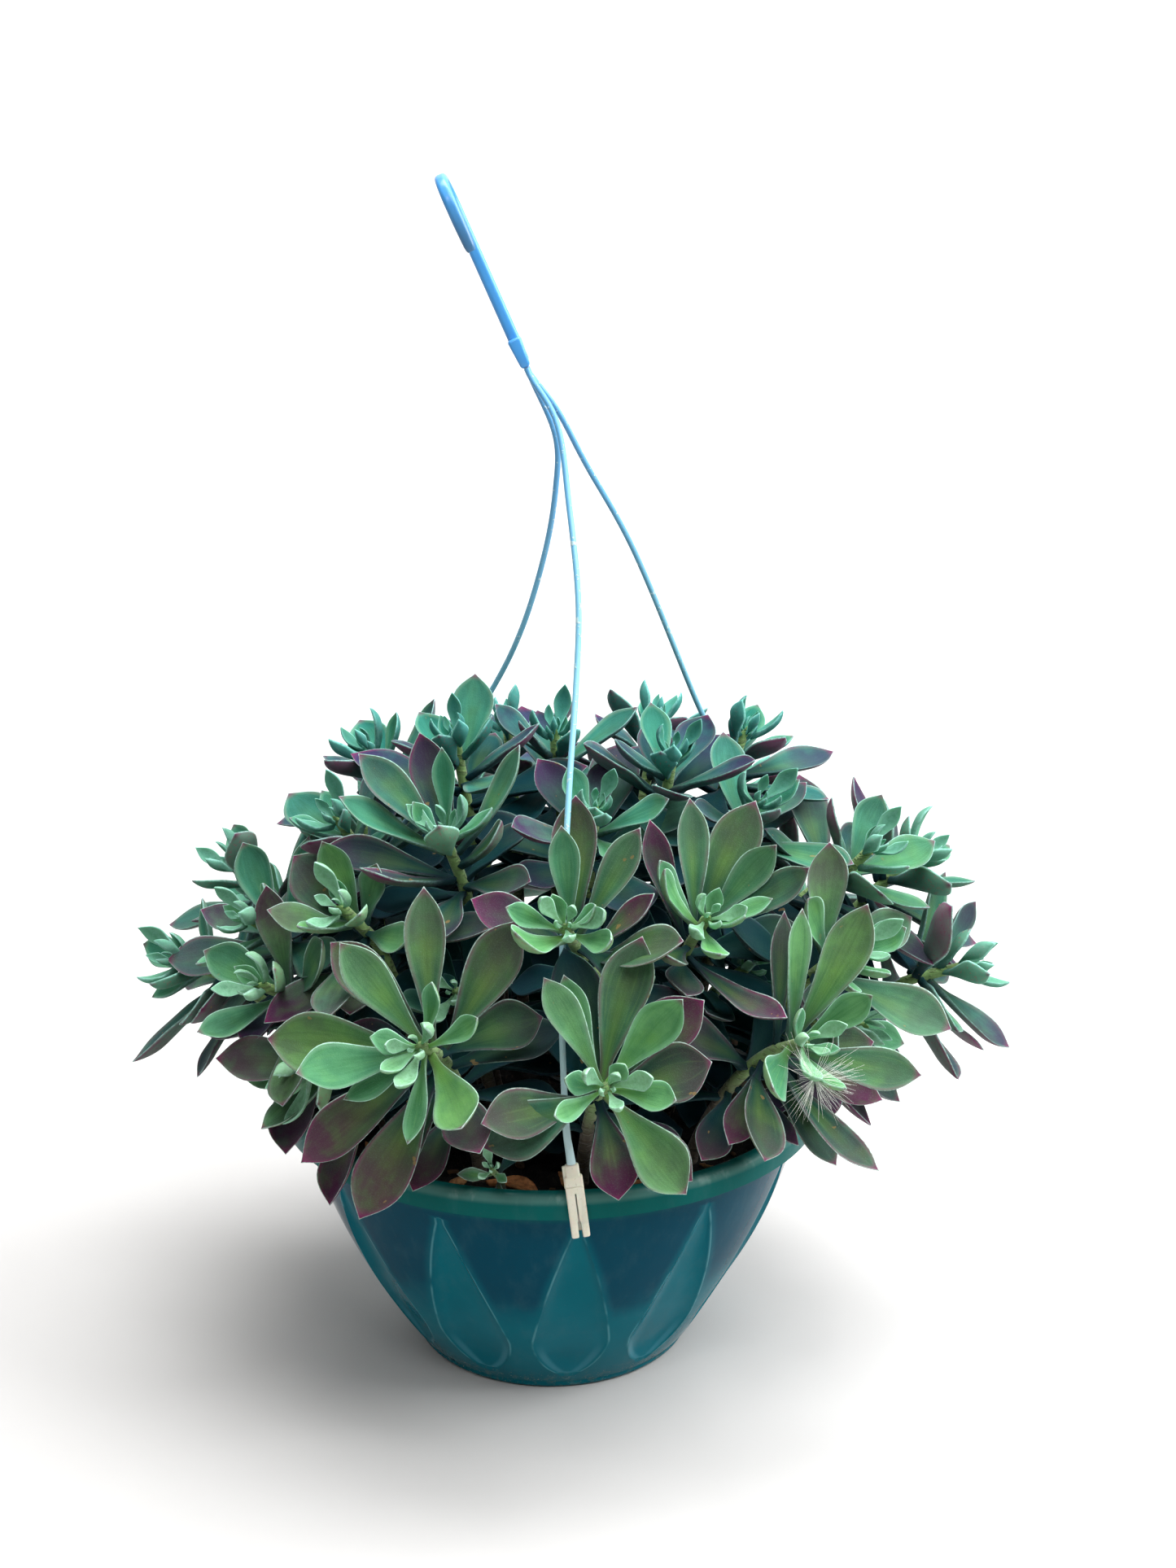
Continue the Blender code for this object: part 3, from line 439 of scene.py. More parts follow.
def groundHeight(x, y):
    # The soil's rough top in millimetres at a place in millimetres.
    outer = wallRadius(bed["top"]) - bowl["sheet"] - bed["gap"]
    share = min(1.0, math.hypot(x, y) / outer)
    spot = Vector((x, y, 0))
    lump = noise.fractal(spot / 14, 0.8, 2.1, 4) * bed["lumps"] + noise.noise(spot / 3.5) * 1.2
    return bed["top"] + bed["crown"] * (1 - share * share) + lump - 0.5


def makeChips(finish):
    # Bark chips and grit lie in the soil's top.
    draw = random.Random(5)
    chips = []
    bpy.ops.mesh.primitive_cube_add(size=1)
    chip = justMade("bark_chips")
    bevel = chip.modifiers.new("wearAndEdgeHighlight", "BEVEL")
    bevel.width = 0.14
    bevel.segments = 1
    applyModifiers(chip)
    shape = corners(chip)
    for k in range(bed["chips"]):
        turn = draw.uniform(0, 2 * math.pi)
        reach = 108 * math.sqrt(draw.uniform(0.12, 1))
        x, y = reach * math.sin(turn), -reach * math.cos(turn)
        size = draw.uniform(1.4, 5.5)
        stretch = Matrix.Diagonal((size, size * draw.uniform(0.4, 0.8), size * draw.uniform(0.2, 0.45)))
        tilt = Matrix.Rotation(draw.uniform(0, 6.28), 3, "Z") @ Matrix.Rotation(draw.uniform(-0.5, 0.5), 3, "X")
        copy = chip.copy()
        copy.data = chip.data.copy()
        bpy.context.scene.collection.objects.link(copy)
        bent = np.array(shape) @ np.array(tilt @ stretch).T
        bent += (x, y, groundHeight(x, y) + 0.1 * size)
        setCorners(copy, bent * mm)
        setValues(copy, "tint", draw.random())
        chips.append(copy)
    bpy.data.objects.remove(chip)
    chips = joined(chips, "bark_chips")
    chips.data.materials.clear()
    chips.data.materials.append(finish)
    handOver(chips, "soil")
    return chips


def soilFinish():
    soil = Finish("damp potting soil", Specular_IOR_Level=0.25)
    crumb = soil.mottle(2.2, 4, 0.7)
    grain = soil.mottle(0.6, 2, 0.5)
    fibre = soil.ease(soil.mottle(1.4, 2, 0.6, (1, 0.25, 1)), 0.62, 0.70)
    brown = soil.mix(crumb, (0.002, 0.003, 0.003), (0.014, 0.012, 0.011))
    colour = soil.mix(fibre * 0.35, brown, (0.10, 0.065, 0.04))
    roughness = grain * 0.2 + 0.75
    return soil.feed(Base_Color=colour, Roughness=roughness, Normal=soil.bump(crumb + grain * 0.5, 1.2))


def barkFinish():
    bark = Finish("bark and dry litter", Specular_IOR_Level=0.25)
    grain = bark.mottle(0.8, 3, 0.6, (0.3, 1, 1))
    tint = bark.value("tint")
    wood = bark.mix(tint, (0.050, 0.026, 0.014), (0.21, 0.115, 0.055))
    colour = bark.mix(grain * 0.7, wood, (0.030, 0.018, 0.012))
    return bark.feed(Base_Color=colour, Roughness=grain * 0.2 + 0.65, Normal=bark.bump(grain, 0.3))

# Hook, strands and clips

hanger = {
    "hub": (-11, 0, 453), "lean": 24, "topLength": 79, "bendRadius": 12.5, "legLength": 19,
    "strapHalfWidth": 2.6, "strapHalfThickness": 1.8, "socket": (5.9, 11, 13), "socketRise": 2,
    "strandRadius": 1.3, "strandPitch": 3.0, "strandStub": 3, "gap": 0.3,
    "clipTurn": 5.5, "clipTilt": 7, "clipPivot": 125, "clipFront": 126.2, "clipTop": 141,
    "clipBottom": 108, "clipLeg": 2.2, "clipInside": 111.8,
    # How pale each strand is: painted light and shade on one plastic, the front strand lit and the left one shaded
    "paintedLightness": {"front": 0.85, "left": 0.25, "right": 0.45},
}
strandBows = {
    "front": [(8, -126, 160), (6.5, -118, 205), (7.5, -100, 250), (9.5, -80, 288), (12, -60, 322),
              (13, -45, 356), (9, -27, 394), (4, -13, 426)],
    "left": [(-111, 51, 165), (-90, 46, 205), (-60, 38, 250), (-29, 29, 299), (-13, 18, 332),
             (-2, 10, 368), (3, 5, 397), (3, 2, 420)],
    "right": [(102, 72, 165), (96, 67, 205), (81, 59, 261), (66, 48, 297), (38, 26, 366),
              (16, 12, 407), (4, 7, 430)],
}
clipThirds = {"front": 0, "right": 1, "left": 2}


def around(turn, radius, z):
    # A place at a turn in degrees from the front (-Y) towards +X.
    turn = math.radians(turn)
    return Vector((radius * math.sin(turn), -radius * math.cos(turn), z))


def smoothRoute(points, count):
    # A Catmull-Rom curve through the points, read at even steps of its length.
    fine = []
    ends = [2 * points[0] - points[1], *points, 2 * points[-1] - points[-2]]
    for a, b, c, d in zip(ends, ends[1:], ends[2:], ends[3:]):
        for step in range(24):
            t = step / 24
            fine.append(0.5 * (2 * b + (c - a) * t + (2 * a - 5 * b + 4 * c - d) * t * t
                               + (3 * b - a - 3 * c + d) * t ** 3))
    fine.append(points[-1].copy())
    lengths = np.cumsum([0.0, *((b - a).length for a, b in zip(fine, fine[1:]))])
    goals = np.linspace(0, lengths[-1], count)
    columns = [np.interp(goals, lengths, [place[axis] for place in fine]) for axis in range(3)]
    return [Vector(place) for place in zip(*columns)]


def meshFromCurve(piece):
    # A curve becomes a closed mesh with its place applied.
    select(piece)
    bpy.ops.object.convert(target="MESH")
    name = piece.name
    piece = justMade(name)
    placeInMesh(piece)
    bpy.ops.object.mode_set(mode="EDIT")
    bpy.ops.mesh.select_all(action="SELECT")
    bpy.ops.mesh.remove_doubles(threshold=0.005 * mm)
    bpy.ops.mesh.fill_holes(sides=0)
    bpy.ops.mesh.select_all(action="SELECT")
    bpy.ops.mesh.normals_make_consistent(inside=False)
    bpy.ops.object.mode_set(mode="OBJECT")
    return piece


def roundBar(name, route, radii, sides=2):
    # A bar along a route in millimetres, with a value "along" from 0 to 1.
    curve = bpy.data.curves.new(name, "CURVE")
    curve.dimensions = "3D"
    curve.bevel_depth = mm
    curve.bevel_resolution = sides
    curve.use_fill_caps = True
    spline = curve.splines.new("POLY")
    spline.points.add(len(route) - 1)
    shares = np.linspace(0, 1, len(route))
    radii = np.interp(shares, np.linspace(0, 1, len(radii)), radii)
    for point, place, radius in zip(spline.points, route, radii):
        point.co = (*(place * mm), 1)
        point.radius = radius
    bar = bpy.data.objects.new(name, curve)
    bpy.context.scene.collection.objects.link(bar)
    bar = meshFromCurve(bar)
    line = np.array([tuple(place * mm) for place in route])
    gaps = np.linalg.norm(corners(bar)[:, None, :] - line[None, :, :], axis=2)
    setValues(bar, "along", shares[gaps.argmin(axis=1)])
    return bar


def roundedBox(name, low, high, round=0.6, segments=3):
    middle = [0.5 * (a + b) * mm for a, b in zip(low, high)]
    bpy.ops.mesh.primitive_cube_add(size=1, location=middle)
    box = justMade(name)
    box.scale = [(b - a) * mm for a, b in zip(low, high)]
    placeInMesh(box)
    bevel = box.modifiers.new("round", "BEVEL")
    bevel.width = round * mm
    bevel.segments = segments
    applyModifiers(box)
    return box


def united(body, others, operation="UNION"):
    for other in others:
        union = body.modifiers.new("union", "BOOLEAN")
        union.object = other
        union.operation = operation
    applyModifiers(body)
    for other in others:
        bpy.data.objects.remove(other)
    return body


def clipTurn(third):
    # From a clip at the front to its third of the rim; each clip leans a little to its left.
    pivot = Vector((0, 0, hanger["clipPivot"]))
    lean = Matrix.Rotation(math.radians(-hanger["clipTilt"]), 4, "Y")
    lean = Matrix.Translation(pivot) @ lean @ Matrix.Translation(-pivot)
    return Matrix.Rotation(math.radians(hanger["clipTurn"] + 120 * third), 4, "Z") @ lean


def hookFrame():
    lean = math.radians(hanger["lean"])
    return Vector((-math.sin(lean), 0, math.cos(lean))), Vector((math.cos(lean), 0, math.sin(lean)))


def makeHook(finish):
    # The strap is drawn flat, then stood up along its lean.
    lean, across = hookFrame()
    front = Vector((0, -1, 0))
    hub = Vector(hanger["hub"])
    bend = hanger["bendRadius"]
    straight = hanger["topLength"] - bend
    line = [(0, straight * share, 1) for share in (-0.02, 0.3, 0.6, 0.9)]
    for step in range(25):
        turn = math.pi * step / 24
        line.append((bend * (1 - math.cos(turn)), straight + bend * math.sin(turn), 1))
    leg = [(0.3, 1), (0.6, 0.95), (0.85, 0.88), (0.95, 0.8), (1.0, 0.62)]
    line += [(2 * bend, straight - hanger["legLength"] * share, wide) for share, wide in leg]
    curve = bpy.data.curves.new("hook_strap", "CURVE")
    curve.dimensions = "2D"
    curve.fill_mode = "NONE"
    curve.bevel_depth = hanger["strapHalfThickness"] * mm
    curve.extrude = (hanger["strapHalfWidth"] - hanger["strapHalfThickness"]) * mm
    curve.bevel_resolution = 4
    curve.use_fill_caps = True
    spline = curve.splines.new("POLY")
    spline.points.add(len(line) - 1)
    for point, (x, y, wide) in zip(spline.points, line):
        point.co = (x * mm, y * mm, 0, 1)
        point.radius = wide
    strap = bpy.data.objects.new("hook_strap", curve)
    bpy.context.scene.collection.objects.link(strap)
    strap.matrix_world = Matrix.Translation(hub * mm) @ Matrix((front, lean, -across)).transposed().to_4x4()
    strap = meshFromCurve(strap)
    wide, deep, tall = hanger["socket"]
    socket = roundedBox("hook_socket", (-wide / 2, -deep / 2, -tall / 2), (wide / 2, deep / 2, tall / 2), 1.2, 4)
    places = corners(socket)
    drop = np.clip((-places[:, 2] / mm - tall / 2 + 4) / 4, 0, 1)
    places[:, 0] *= 1 - 0.40 * drop
    places[:, 1] *= 1 - 0.12 * drop
    setCorners(socket, places)
    turn = Matrix((across, Vector((0, 1, 0)), lean)).transposed().to_4x4()
    socket.data.transform(Matrix.Translation((hub + lean * hanger["socketRise"]) * mm) @ turn)
    hook = united(strap, [socket])
    hook.name = "strap_hook"
    places = corners(hook) / mm - np.array(hub)
    legDrop = hanger["topLength"] - places @ np.array(lean)
    # The near leg's value along darkens its blue towards the tip: painted shade
    setValues(hook, "along", np.where(places @ np.array(front) > 12, np.clip(legDrop / 32, 0, 1), 0))
    smooth(hook, 35)
    hook.data.materials.append(finish)
    handOver(hook, "hook", "hook")
    print("hook bent")


def strandRoutes():
    lean, _ = hookFrame()
    end = Vector(hanger["hub"]) - lean * (0.5 * hanger["socket"][2] - hanger["socketRise"] + hanger["gap"])
    shifts = {"front": -hanger["strandPitch"], "left": 0, "right": hanger["strandPitch"]}
    for name, bow in strandBows.items():
        middle = -hanger["clipFront"] - 0.5 * hanger["clipLeg"]
        foot, above = (clipTurn(clipThirds[name]) @ Vector((0, middle, hanger["clipTop"] + hanger["gap"] + rise))
                       for rise in (0, hanger["strandStub"]))
        top = end + Vector((0, shifts[name], 0))
        points = [above, *map(Vector, bow), top - lean * hanger["strandStub"]]
        yield name, [foot, *smoothRoute(points, 90), top]


def makeStrands(finish):
    for name, route in strandRoutes():
        thick = hanger["strandRadius"]
        radii = [thick * 1.5, thick * 1.4, *[thick * (1.25 - 0.05 * k) for k in range(5)], *[thick] * 60]
        strand = roundBar(f"strand_bar_{name}", route, radii, 3)
        setValues(strand, "pale", hanger["paintedLightness"][name])
        smooth(strand, 50)
        strand.data.materials.append(finish)
        handOver(strand, "strand", f"strand_{name}")
    print("three strands drawn")


def makeClips(finish):
    # One clip is moulded at the front and turned to its third of the rim.
    front = hanger["clipFront"] + hanger["clipLeg"]
    low, top, inside = hanger["clipBottom"], hanger["clipTop"], hanger["clipInside"]
    leg = roundedBox("rim_clip", (-3.8, -front, low + 3), (3.8, -front + 2.2, top - 5), 0.9, 4)
    boxes = [
        roundedBox("rear", (-3, -inside, 113.5), (3, -inside + 1.8, 129.4), 0.5),
        roundedBox("bridge", (-3.4, -front + 0.4, 126.6), (3.4, -inside + 1.7, 130), 0.7),
        roundedBox("footLeft", (-3.8, -front - 0.1, low), (-0.6, -front + 1.9, low + 7), 0.9, 4),
        roundedBox("footRight", (0.6, -front - 0.1, low), (3.8, -front + 1.9, low + 7), 0.9, 4),
        roundedBox("pin", (-0.8, -front - 0.3, low - 2.4), (0.8, -front + 1.3, low + 8), 0.6, 4),
        roundedBox("neck", (-2.9, -front + 0.1, top - 9), (2.9, -front + 2.4, top), 0.9, 4),
        roundedBox("sleeve", (-4, -front + 1.0, top - 11), (-1, -front + 2.1, top - 0.6), 0.5),
    ]
    clip = united(leg, boxes)
    groove = roundedBox("groove", (-0.3, -front - 2, low + 7.5), (0.3, -front + 0.5, top - 13), 0.2, 2)
    step = roundedBox("step", (-5, -front - 2, top - 10.2), (5, -front + 0.25, top - 9.7), 0.1, 2)
    clip = united(clip, [groove, step], "DIFFERENCE")
    for name, third in clipThirds.items():
        copy = clip.copy()
        copy.data = clip.data.copy()
        bpy.context.scene.collection.objects.link(copy)
        copy.name = f"rim_clip_{name}"
        turn = clipTurn(third)
        setCorners(copy, [tuple(turn @ (Vector(place) / mm) * mm) for place in corners(copy)])
        smooth(copy, 35)
        copy.data.materials.append(finish)
        handOver(copy, "clip", f"clip_{name}")
    bpy.data.objects.remove(clip)
    print("clips moulded")


def hookFinish():
    blue = Finish("blue hook plastic", IOR=1.46, Coat_Weight=0.3, Coat_Roughness=0.2)
    along = blue.value("along")
    cloud = blue.mottle(12, 3)
    pale = blue.mix(cloud, (0.038, 0.235, 0.58), (0.060, 0.30, 0.66))
    # The near leg darkens towards its tip: painted shade
    colour = blue.mix(blue.ease(along, 0.10, 0.95, 0.0, 0.85), pale, (0.040, 0.120, 0.22))
    hazeAndPaintedReflection = blue.mottle(2.2, 3, 0.6, (1, 1, 0.3))
    return blue.feed(Base_Color=colour, Roughness=hazeAndPaintedReflection * 0.18 + 0.26, Normal=blue.bump(hazeAndPaintedReflection, 0.05))


def strandFinish():
    strand = Finish("pale strand plastic", IOR=1.46, Coat_Weight=0.2, Coat_Roughness=0.25)
    along = strand.value("along")
    # The paleness of each strand is painted light and shade
    foot = strand.mix(strand.value("pale"), (0.24, 0.40, 0.44), (0.54, 0.74, 0.77))
    middle = strand.mix(strand.value("pale"), (0.12, 0.36, 0.48), (0.20, 0.50, 0.66))
    lower = strand.mix(strand.ease(along, 0.0, 0.50), foot, middle)
    colour = strand.mix(strand.ease(along, 0.50, 0.97), lower, (0.065, 0.28, 0.56))
    streak = strand.mottle(3, 3, 0.6, (1, 1, 0.2))
    nick = strand.ease(strand.mottle(2.4, 2, 0.5), 0.63, 0.68)
    wearAndEdgeHighlight = strand.mix(nick * 0.6, strand.mix(streak * 0.25, colour, (0.20, 0.36, 0.38)), (0.50, 0.62, 0.60))
    return strand.feed(Base_Color=wearAndEdgeHighlight, Roughness=streak * 0.2 + 0.3, Normal=strand.bump(streak + nick, 0.15))


def clipFinish():
    cream = Finish("cream clip plastic", IOR=1.46, Subsurface_Weight=0.25, Subsurface_Scale=0.003)
    cloud = cream.mottle(5, 4, 0.6)
    dirt = cream.ease(cream.mottle(1.6, 3, 0.6), 0.60, 0.72) * 0.35
    pale = cream.mix(cloud, (0.66, 0.63, 0.50), (0.80, 0.78, 0.66))
    colour = cream.mix(dirt, pale, (0.32, 0.27, 0.17))
    return cream.feed(Base_Color=colour, Roughness=cloud * 0.15 + 0.32, Normal=cream.bump(cloud, 0.08))

# Rosettes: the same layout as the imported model, with each leaf's bend found again from its node

growth = {
    "rootPull": 0.60, "rootReach": 98, "pupReach": 102, "rootLimit": 103, "rootSpacing": 15,
    "soilTop": 112, "holeDepth": 14, "stemRootRadius": 3.3, "stemTipRadius": 2.4, "budLength": 6,
    "leafThickness": 3.4, "leafTaper": 0.45, "leafChannel": 0.16, "longLeaf": 58.5, "shortLeaf": 20,
    "seenSpread": 26, "ruleSpread": 0.76, "ruleShrink": 0.86, "viewTilt": 15, "goldenTurn": 137.5,
    "fuseShift": 0.4,
}
stemSwings = (0, -7, 7, -14, 14, -22, 22)
stemBows = ((0.35, 0.35), (0.5, 0.3), (0.25, 0.45), (0.6, 0.2), (0.2, 0.25), (0.15, 0.1))

# The clock angle in degrees of each leaf tip, its reach, how far it comes forward, and its width
seenLeaves = {
    "front_left": [
        (-160, 73, -6, 24), (-135, 68, -12, 24), (38, 61, -16, 22), (80, 48, -22, 22), (-46, 55, -32, 20),
        (0, 62, -14, 17), (-88, 61, -6, 25), (-38, 52, 0, 17), (146, 33, 32, 20), (-100, 48, 14, 20),
        (-122, 36, 4, 10), (186, 37, 10, 10), (61, 27, 15, 10), (11, 27, 12, 9), (-75, 20, 10, 11),
        (-117, 16, 18, 8),
    ],
    "front_middle": [
        (174, 46, -6, 20), (51, 51, -18, 22), (81, 45, -18, 24), (-19, 55, -26, 20), (14, 60, -12, 21),
        (-117, 54, -5, 23), (142, 50, 12, 22), (-30, 50, 0, 14), (-18, 45, 6, 14), (40, 46, 8, 18),
        (95, 27, 18, 13), (-111, 22, 22, 9), (-72, 17, 12, 10), (35, 13, 10, 9),
    ],
    "front_right": [
        (-144, 50, 5, 15), (127, 44, -16, 18), (149, 60, 4, 14), (-6, 53, -16, 13), (106, 51, 0, 18),
        (25, 63, -2, 21), (4, 54, -4, 13), (-132, 20, 35, 19), (53, 35, 10, 14), (135, 22, 24, 9),
        (95, 15, 12, 6), (0, 15, 8, 7),
    ],
    "middle": [
        (71, 39, -6, 13), (-75, 40, -18, 18), (3, 53, -18, 20), (120, 42, -14, 18), (37, 50, 0, 15),
        (-50, 49, 4, 16), (-2, 41, -2, 13), (-93, 19, 32, 18), (100, 19, 25, 11), (-68, 25, 14, 10),
        (51, 16, 12, 8), (-20, 15, 8, 8),
    ],
    "middle_right": [
        (128, 52, 14, 14), (-30, 48, -10, 14), (-125, 20, 30, 16), (24, 54, -12, 21), (-7, 51, -5, 15),
        (63, 48, 12, 15), (43, 43, 4, 15), (-38, 32, 8, 12), (-47, 31, 20, 13), (161, 13, 28, 12),
        (71, 29, 6, 9), (78, 16, 14, 7), (22, 15, 6, 8),
    ],
    "upper_left": [
        (-96, 54, -8, 19), (-110, 36, 20, 13), (-15, 46, -15, 18), (75, 26, 14, 15), (-47, 51, -3, 17),
        (39, 50, 3, 14), (-68, 47, 8, 15), (0, 5, 34, 15), (-2, 38, 2, 10), (-41, 20, 6, 10),
        (60, 24, 6, 9), (23, 13, 6, 8),
    ],
}
# Centre, facing, longest leaf, leaf count and spiral turn
rosettes = [
    ("front_left", (-48, -140, 197), (-18, 22), 66, 0, 0),
    ("front_middle", (24, -145, 182), (8, 22), 60, 0, 0),
    ("front_right", (103, -112, 187), (30, 22), 60, 0, 0),
    ("middle", (8, -118, 238), (0, 35), 54, 0, 0),
    ("middle_right", (65, -88, 231), (20, 35), 56, 0, 0),
    ("upper_left", (-43, -62, 259), (-30, 50), 54, 0, 0),
    ("left_shoulder", (-84, -78, 232), (-30, 32), 58, 10, 20),
    ("left_low", (-120, -72, 196), (-40, 20), 60, 10, 200),
    ("left_mid", (-130, -35, 213), (-45, 30), 58, 10, 75),
    ("left_far", (-166, -14, 186), (-62, 22), 58, 10, 140),
    ("left_high", (-150, 42, 212), (-70, 40), 58, 10, 300),
    ("left_rim", (-100, -88, 166), (-48, -15), 58, 8, 60),
    ("right_big", (128, -72, 213), (35, 28), 64, 10, 110),
    ("right_mid", (140, -22, 240), (50, 40), 58, 10, 30),
    ("right_far", (188, -4, 180), (70, 18), 60, 10, 250),
    ("right_high", (170, 30, 222), (75, 40), 58, 10, 170),
    ("right_rim", (134, -52, 172), (55, -10), 56, 8, 310),
    ("upper_right", (90, -24, 262), (25, 50), 58, 10, 100),
    ("upper_mid", (20, -42, 264), (10, 52), 60, 10, 200),
    ("top_right", (54, -12, 280), (20, 62), 58, 10, 320),
    ("top_left", (-42, 2, 284), (-30, 65), 58, 10, 60),
    ("top_mid", (2, 26, 280), (0, 70), 58, 10, 10),
    ("shoulder_left", (-92, -18, 252), (-45, 45), 58, 10, 250),
    ("crown_right", (88, 28, 280), (70, 65), 58, 10, 150),
    ("crown_left", (-84, 44, 268), (-80, 58), 58, 10, 90),
    ("crown_back", (50, 70, 276), (150, 62), 58, 9, 210),
    ("crown_back_left", (-22, 78, 272), (-165, 60), 58, 9, 330),
    ("inner_left", (-38, -78, 196), (-12, 25), 60, 8, 15),
    ("inner_middle", (28, -72, 192), (8, 25), 60, 8, 85),
    ("inner_right", (84, -52, 196), (35, 25), 60, 8, 160),
    ("pup", (-22, -119, 134), (-14, 40), 17, 5, 40),
]
# First and last azimuth, count, reach, height, facing and longest leaf
backRows = [
    (118, 246, 6, 150, 190, 20, 60),
    (128, 232, 4, 112, 236, 42, 58),
]


def direction(turn, rise):
    turn, rise = math.radians(turn), math.radians(rise)
    return Vector((math.cos(rise) * math.sin(turn), -math.cos(rise) * math.cos(turn), math.sin(rise)))


def allRosettes():
    draw = random.Random(11)
    spots = list(rosettes)
    for row, (first, last, count, reach, height, faced, longest) in enumerate(backRows):
        for k in range(count):
            turn = first + (last - first) * k / (count - 1) + draw.uniform(-4, 4)
            far = reach + draw.uniform(-8, 8)
            tall = height + draw.uniform(-10, 10)
            spots.append((f"back_{row + 1}_{k + 1}", tuple(around(turn, far, tall)),
                          (turn, faced + draw.uniform(-6, 8)), longest + draw.uniform(-4, 4), 9,
                          draw.uniform(0, 360)))
    return spots


def spreadRoots(spots):
    places = []
    for name, centre, *_ in spots:
        reach = min(growth["rootReach"], growth["rootPull"] * math.hypot(centre[0], centre[1]))
        reach = growth["pupReach"] if name == "pup" else reach
        places.append(around(math.degrees(math.atan2(centre[0], -centre[1])), reach, 0))
    for _ in range(60):
        for a, b in combinations(places, 2):
            apart = a - b
            if apart.length < growth["rootSpacing"]:
                push = apart.normalized() * (0.5 * (growth["rootSpacing"] - apart.length))
                a += push
                b -= push
        for place in places:
            if place.length > growth["rootLimit"]:
                place *= growth["rootLimit"] / place.length
    return [Vector((place.x, place.y, growth["soilTop"] - growth["holeDepth"] + 0.3)) for place in places]


def stemRoute(root, centre, axis, rise, pull):
    start = Vector((root.x, root.y, growth["soilTop"] + 3))
    span = (centre - start).length
    out = Vector((root.x, root.y, 0)).normalized()
    first = start + (Vector((0, 0, 1)) + out * 0.35).normalized() * (span * rise)
    second = centre - axis * (span * pull)
    route = [root, start]
    for t in (0.25, 0.5, 0.75, 1.0):
        u = 1 - t
        route.append(start * u ** 3 + first * (3 * u * u * t) + second * (3 * u * t * t) + centre * t ** 3)
    return route


def routePoint(route, drop):
    left = drop
    for a, b in zip(route[::-1], route[-2::-1]):
        step = (a - b).length
        if left <= step:
            return a.lerp(b, left / step), (a - b).normalized()
        left -= step
    return route[0], Vector((0, 0, 1))


def leafPlan(name, route, axis, longest, count, phase):
    plan = []
    centre = route[-1]
    if name in seenLeaves:
        tilt = math.radians(growth["viewTilt"])
        toward = Vector((0, -math.cos(tilt), math.sin(tilt)))
        above = Vector((0, math.sin(tilt), math.cos(tilt)))
        tips = seenLeaves[name]
        for k, (clock, reach, forward, width) in enumerate(tips):
            angle = math.radians(clock)
            tip = centre + (Vector((1, 0, 0)) * math.sin(angle) + above * math.cos(angle)) * reach + toward * forward
            base, along = routePoint(route, growth["seenSpread"] * (1 - k / len(tips)) ** 1.6)
            size = (tip - base).length
            plan.append((base, tip, along, -0.07 * size if forward > 0 else 0.03 * size, width))
        return plan
    for k in range(count):
        youth = k / count
        fade = max(0.0, (youth - 0.3) / 0.7)
        turn = math.radians(phase + k * growth["goldenTurn"])
        length = longest * (1 - growth["ruleShrink"] * fade * fade * (3 - 2 * fade))
        opening = math.radians(12 + 84 * (1 - youth) ** 0.8)
        base, along = routePoint(route, growth["ruleSpread"] * longest * (1 - youth) ** 1.5)
        radial = Matrix.Rotation(turn, 3, along) @ along.orthogonal().normalized()
        tip = base + (along * math.cos(opening) + radial * math.sin(opening)) * length
        plan.append((base, tip, along, length * (0.06 - 0.13 * youth), (0.40 if youth < 0.7 else 0.46) * length))
    return plan


def bendChoices():
    choices = []
    for scale in (1.0, 0.88, 0.76, 0.62):
        for turn in (0, -7, 7, -14, 14, -22, 22):
            for lift in (0, 7, -7, 14, -14, 24, -24):
                choices.append((abs(turn) + abs(lift) + (1 - scale) * 90, turn, lift, scale))
    return sorted(choices)


def bentLeaf(leaf, turn, lift, scale):
    base, tip, axis, bow, width = leaf
    chord = tip - base
    side = chord.cross(axis)
    side = side.normalized() if side.length > 1e-3 else chord.orthogonal().normalized()
    chord = Matrix.Rotation(math.radians(lift), 3, side) @ chord
    chord = Matrix.Rotation(math.radians(turn), 3, axis) @ chord
    return base, base + chord * scale, axis, bow * scale, width * math.sqrt(scale)


def leafFrame(leaf):
    base, tip, axis, bow, width = leaf
    ahead = (tip - base).normalized()
    side = ahead.cross(axis)
    side = side.normalized() if side.length > 0.02 else ahead.orthogonal().normalized()
    return ahead, side, side.cross(ahead)


def shoulders(leaf):
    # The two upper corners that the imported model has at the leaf's widest station.
    base, tip, axis, bow, width = leaf
    length = (tip - base).length
    ahead, side, up = leafFrame(leaf)
    t = 0.67 if length > growth["longLeaf"] else 0.76 if length > growth["shortLeaf"] else 0.66
    fade = max(0.0, (t - 0.67) / 0.33)
    half = 0.5 * width * (1 - fade ** 2.1) ** 0.85
    middle = base + (tip - base) * t + up * (bow * 4 * t * (1 - t))
    normal = side.cross((tip - base + up * (bow * 4 * (1 - 2 * t))).normalized())
    middle += normal * (growth["leafChannel"] * half)
    return middle + side * half, middle - side * half


def nodeTree(name):
    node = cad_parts[name]
    places = corners(node) / mm
    tree = KDTree(len(places))
    for index, place in enumerate(places):
        tree.insert(place, index)
    tree.balance()
    return places, tree


def foundStem(name, root, centre, axis, places, tree):
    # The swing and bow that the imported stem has.
    foot = places[places[:, 2] < root.z + 0.3].mean(axis=0)
    swung = min((Matrix.Rotation(math.radians(swing), 3, "Z") @ root for swing in stemSwings),
                key=lambda place: (place - Vector(foot)).length)
    routes = [stemRoute(swung, centre, axis, rise, pull) for rise, pull in stemBows]
    slim = 0.5 if name == "pup" else 1.0

    def misfit(route):
        gaps = []
        for k in (2, 3):
            radius = slim * (growth["stemRootRadius"] + (growth["stemTipRadius"] - growth["stemRootRadius"]) * k / 5)
            gaps.append(abs(tree.find(route[k])[2] - radius))
        return sum(gaps)
    return min(routes, key=misfit)


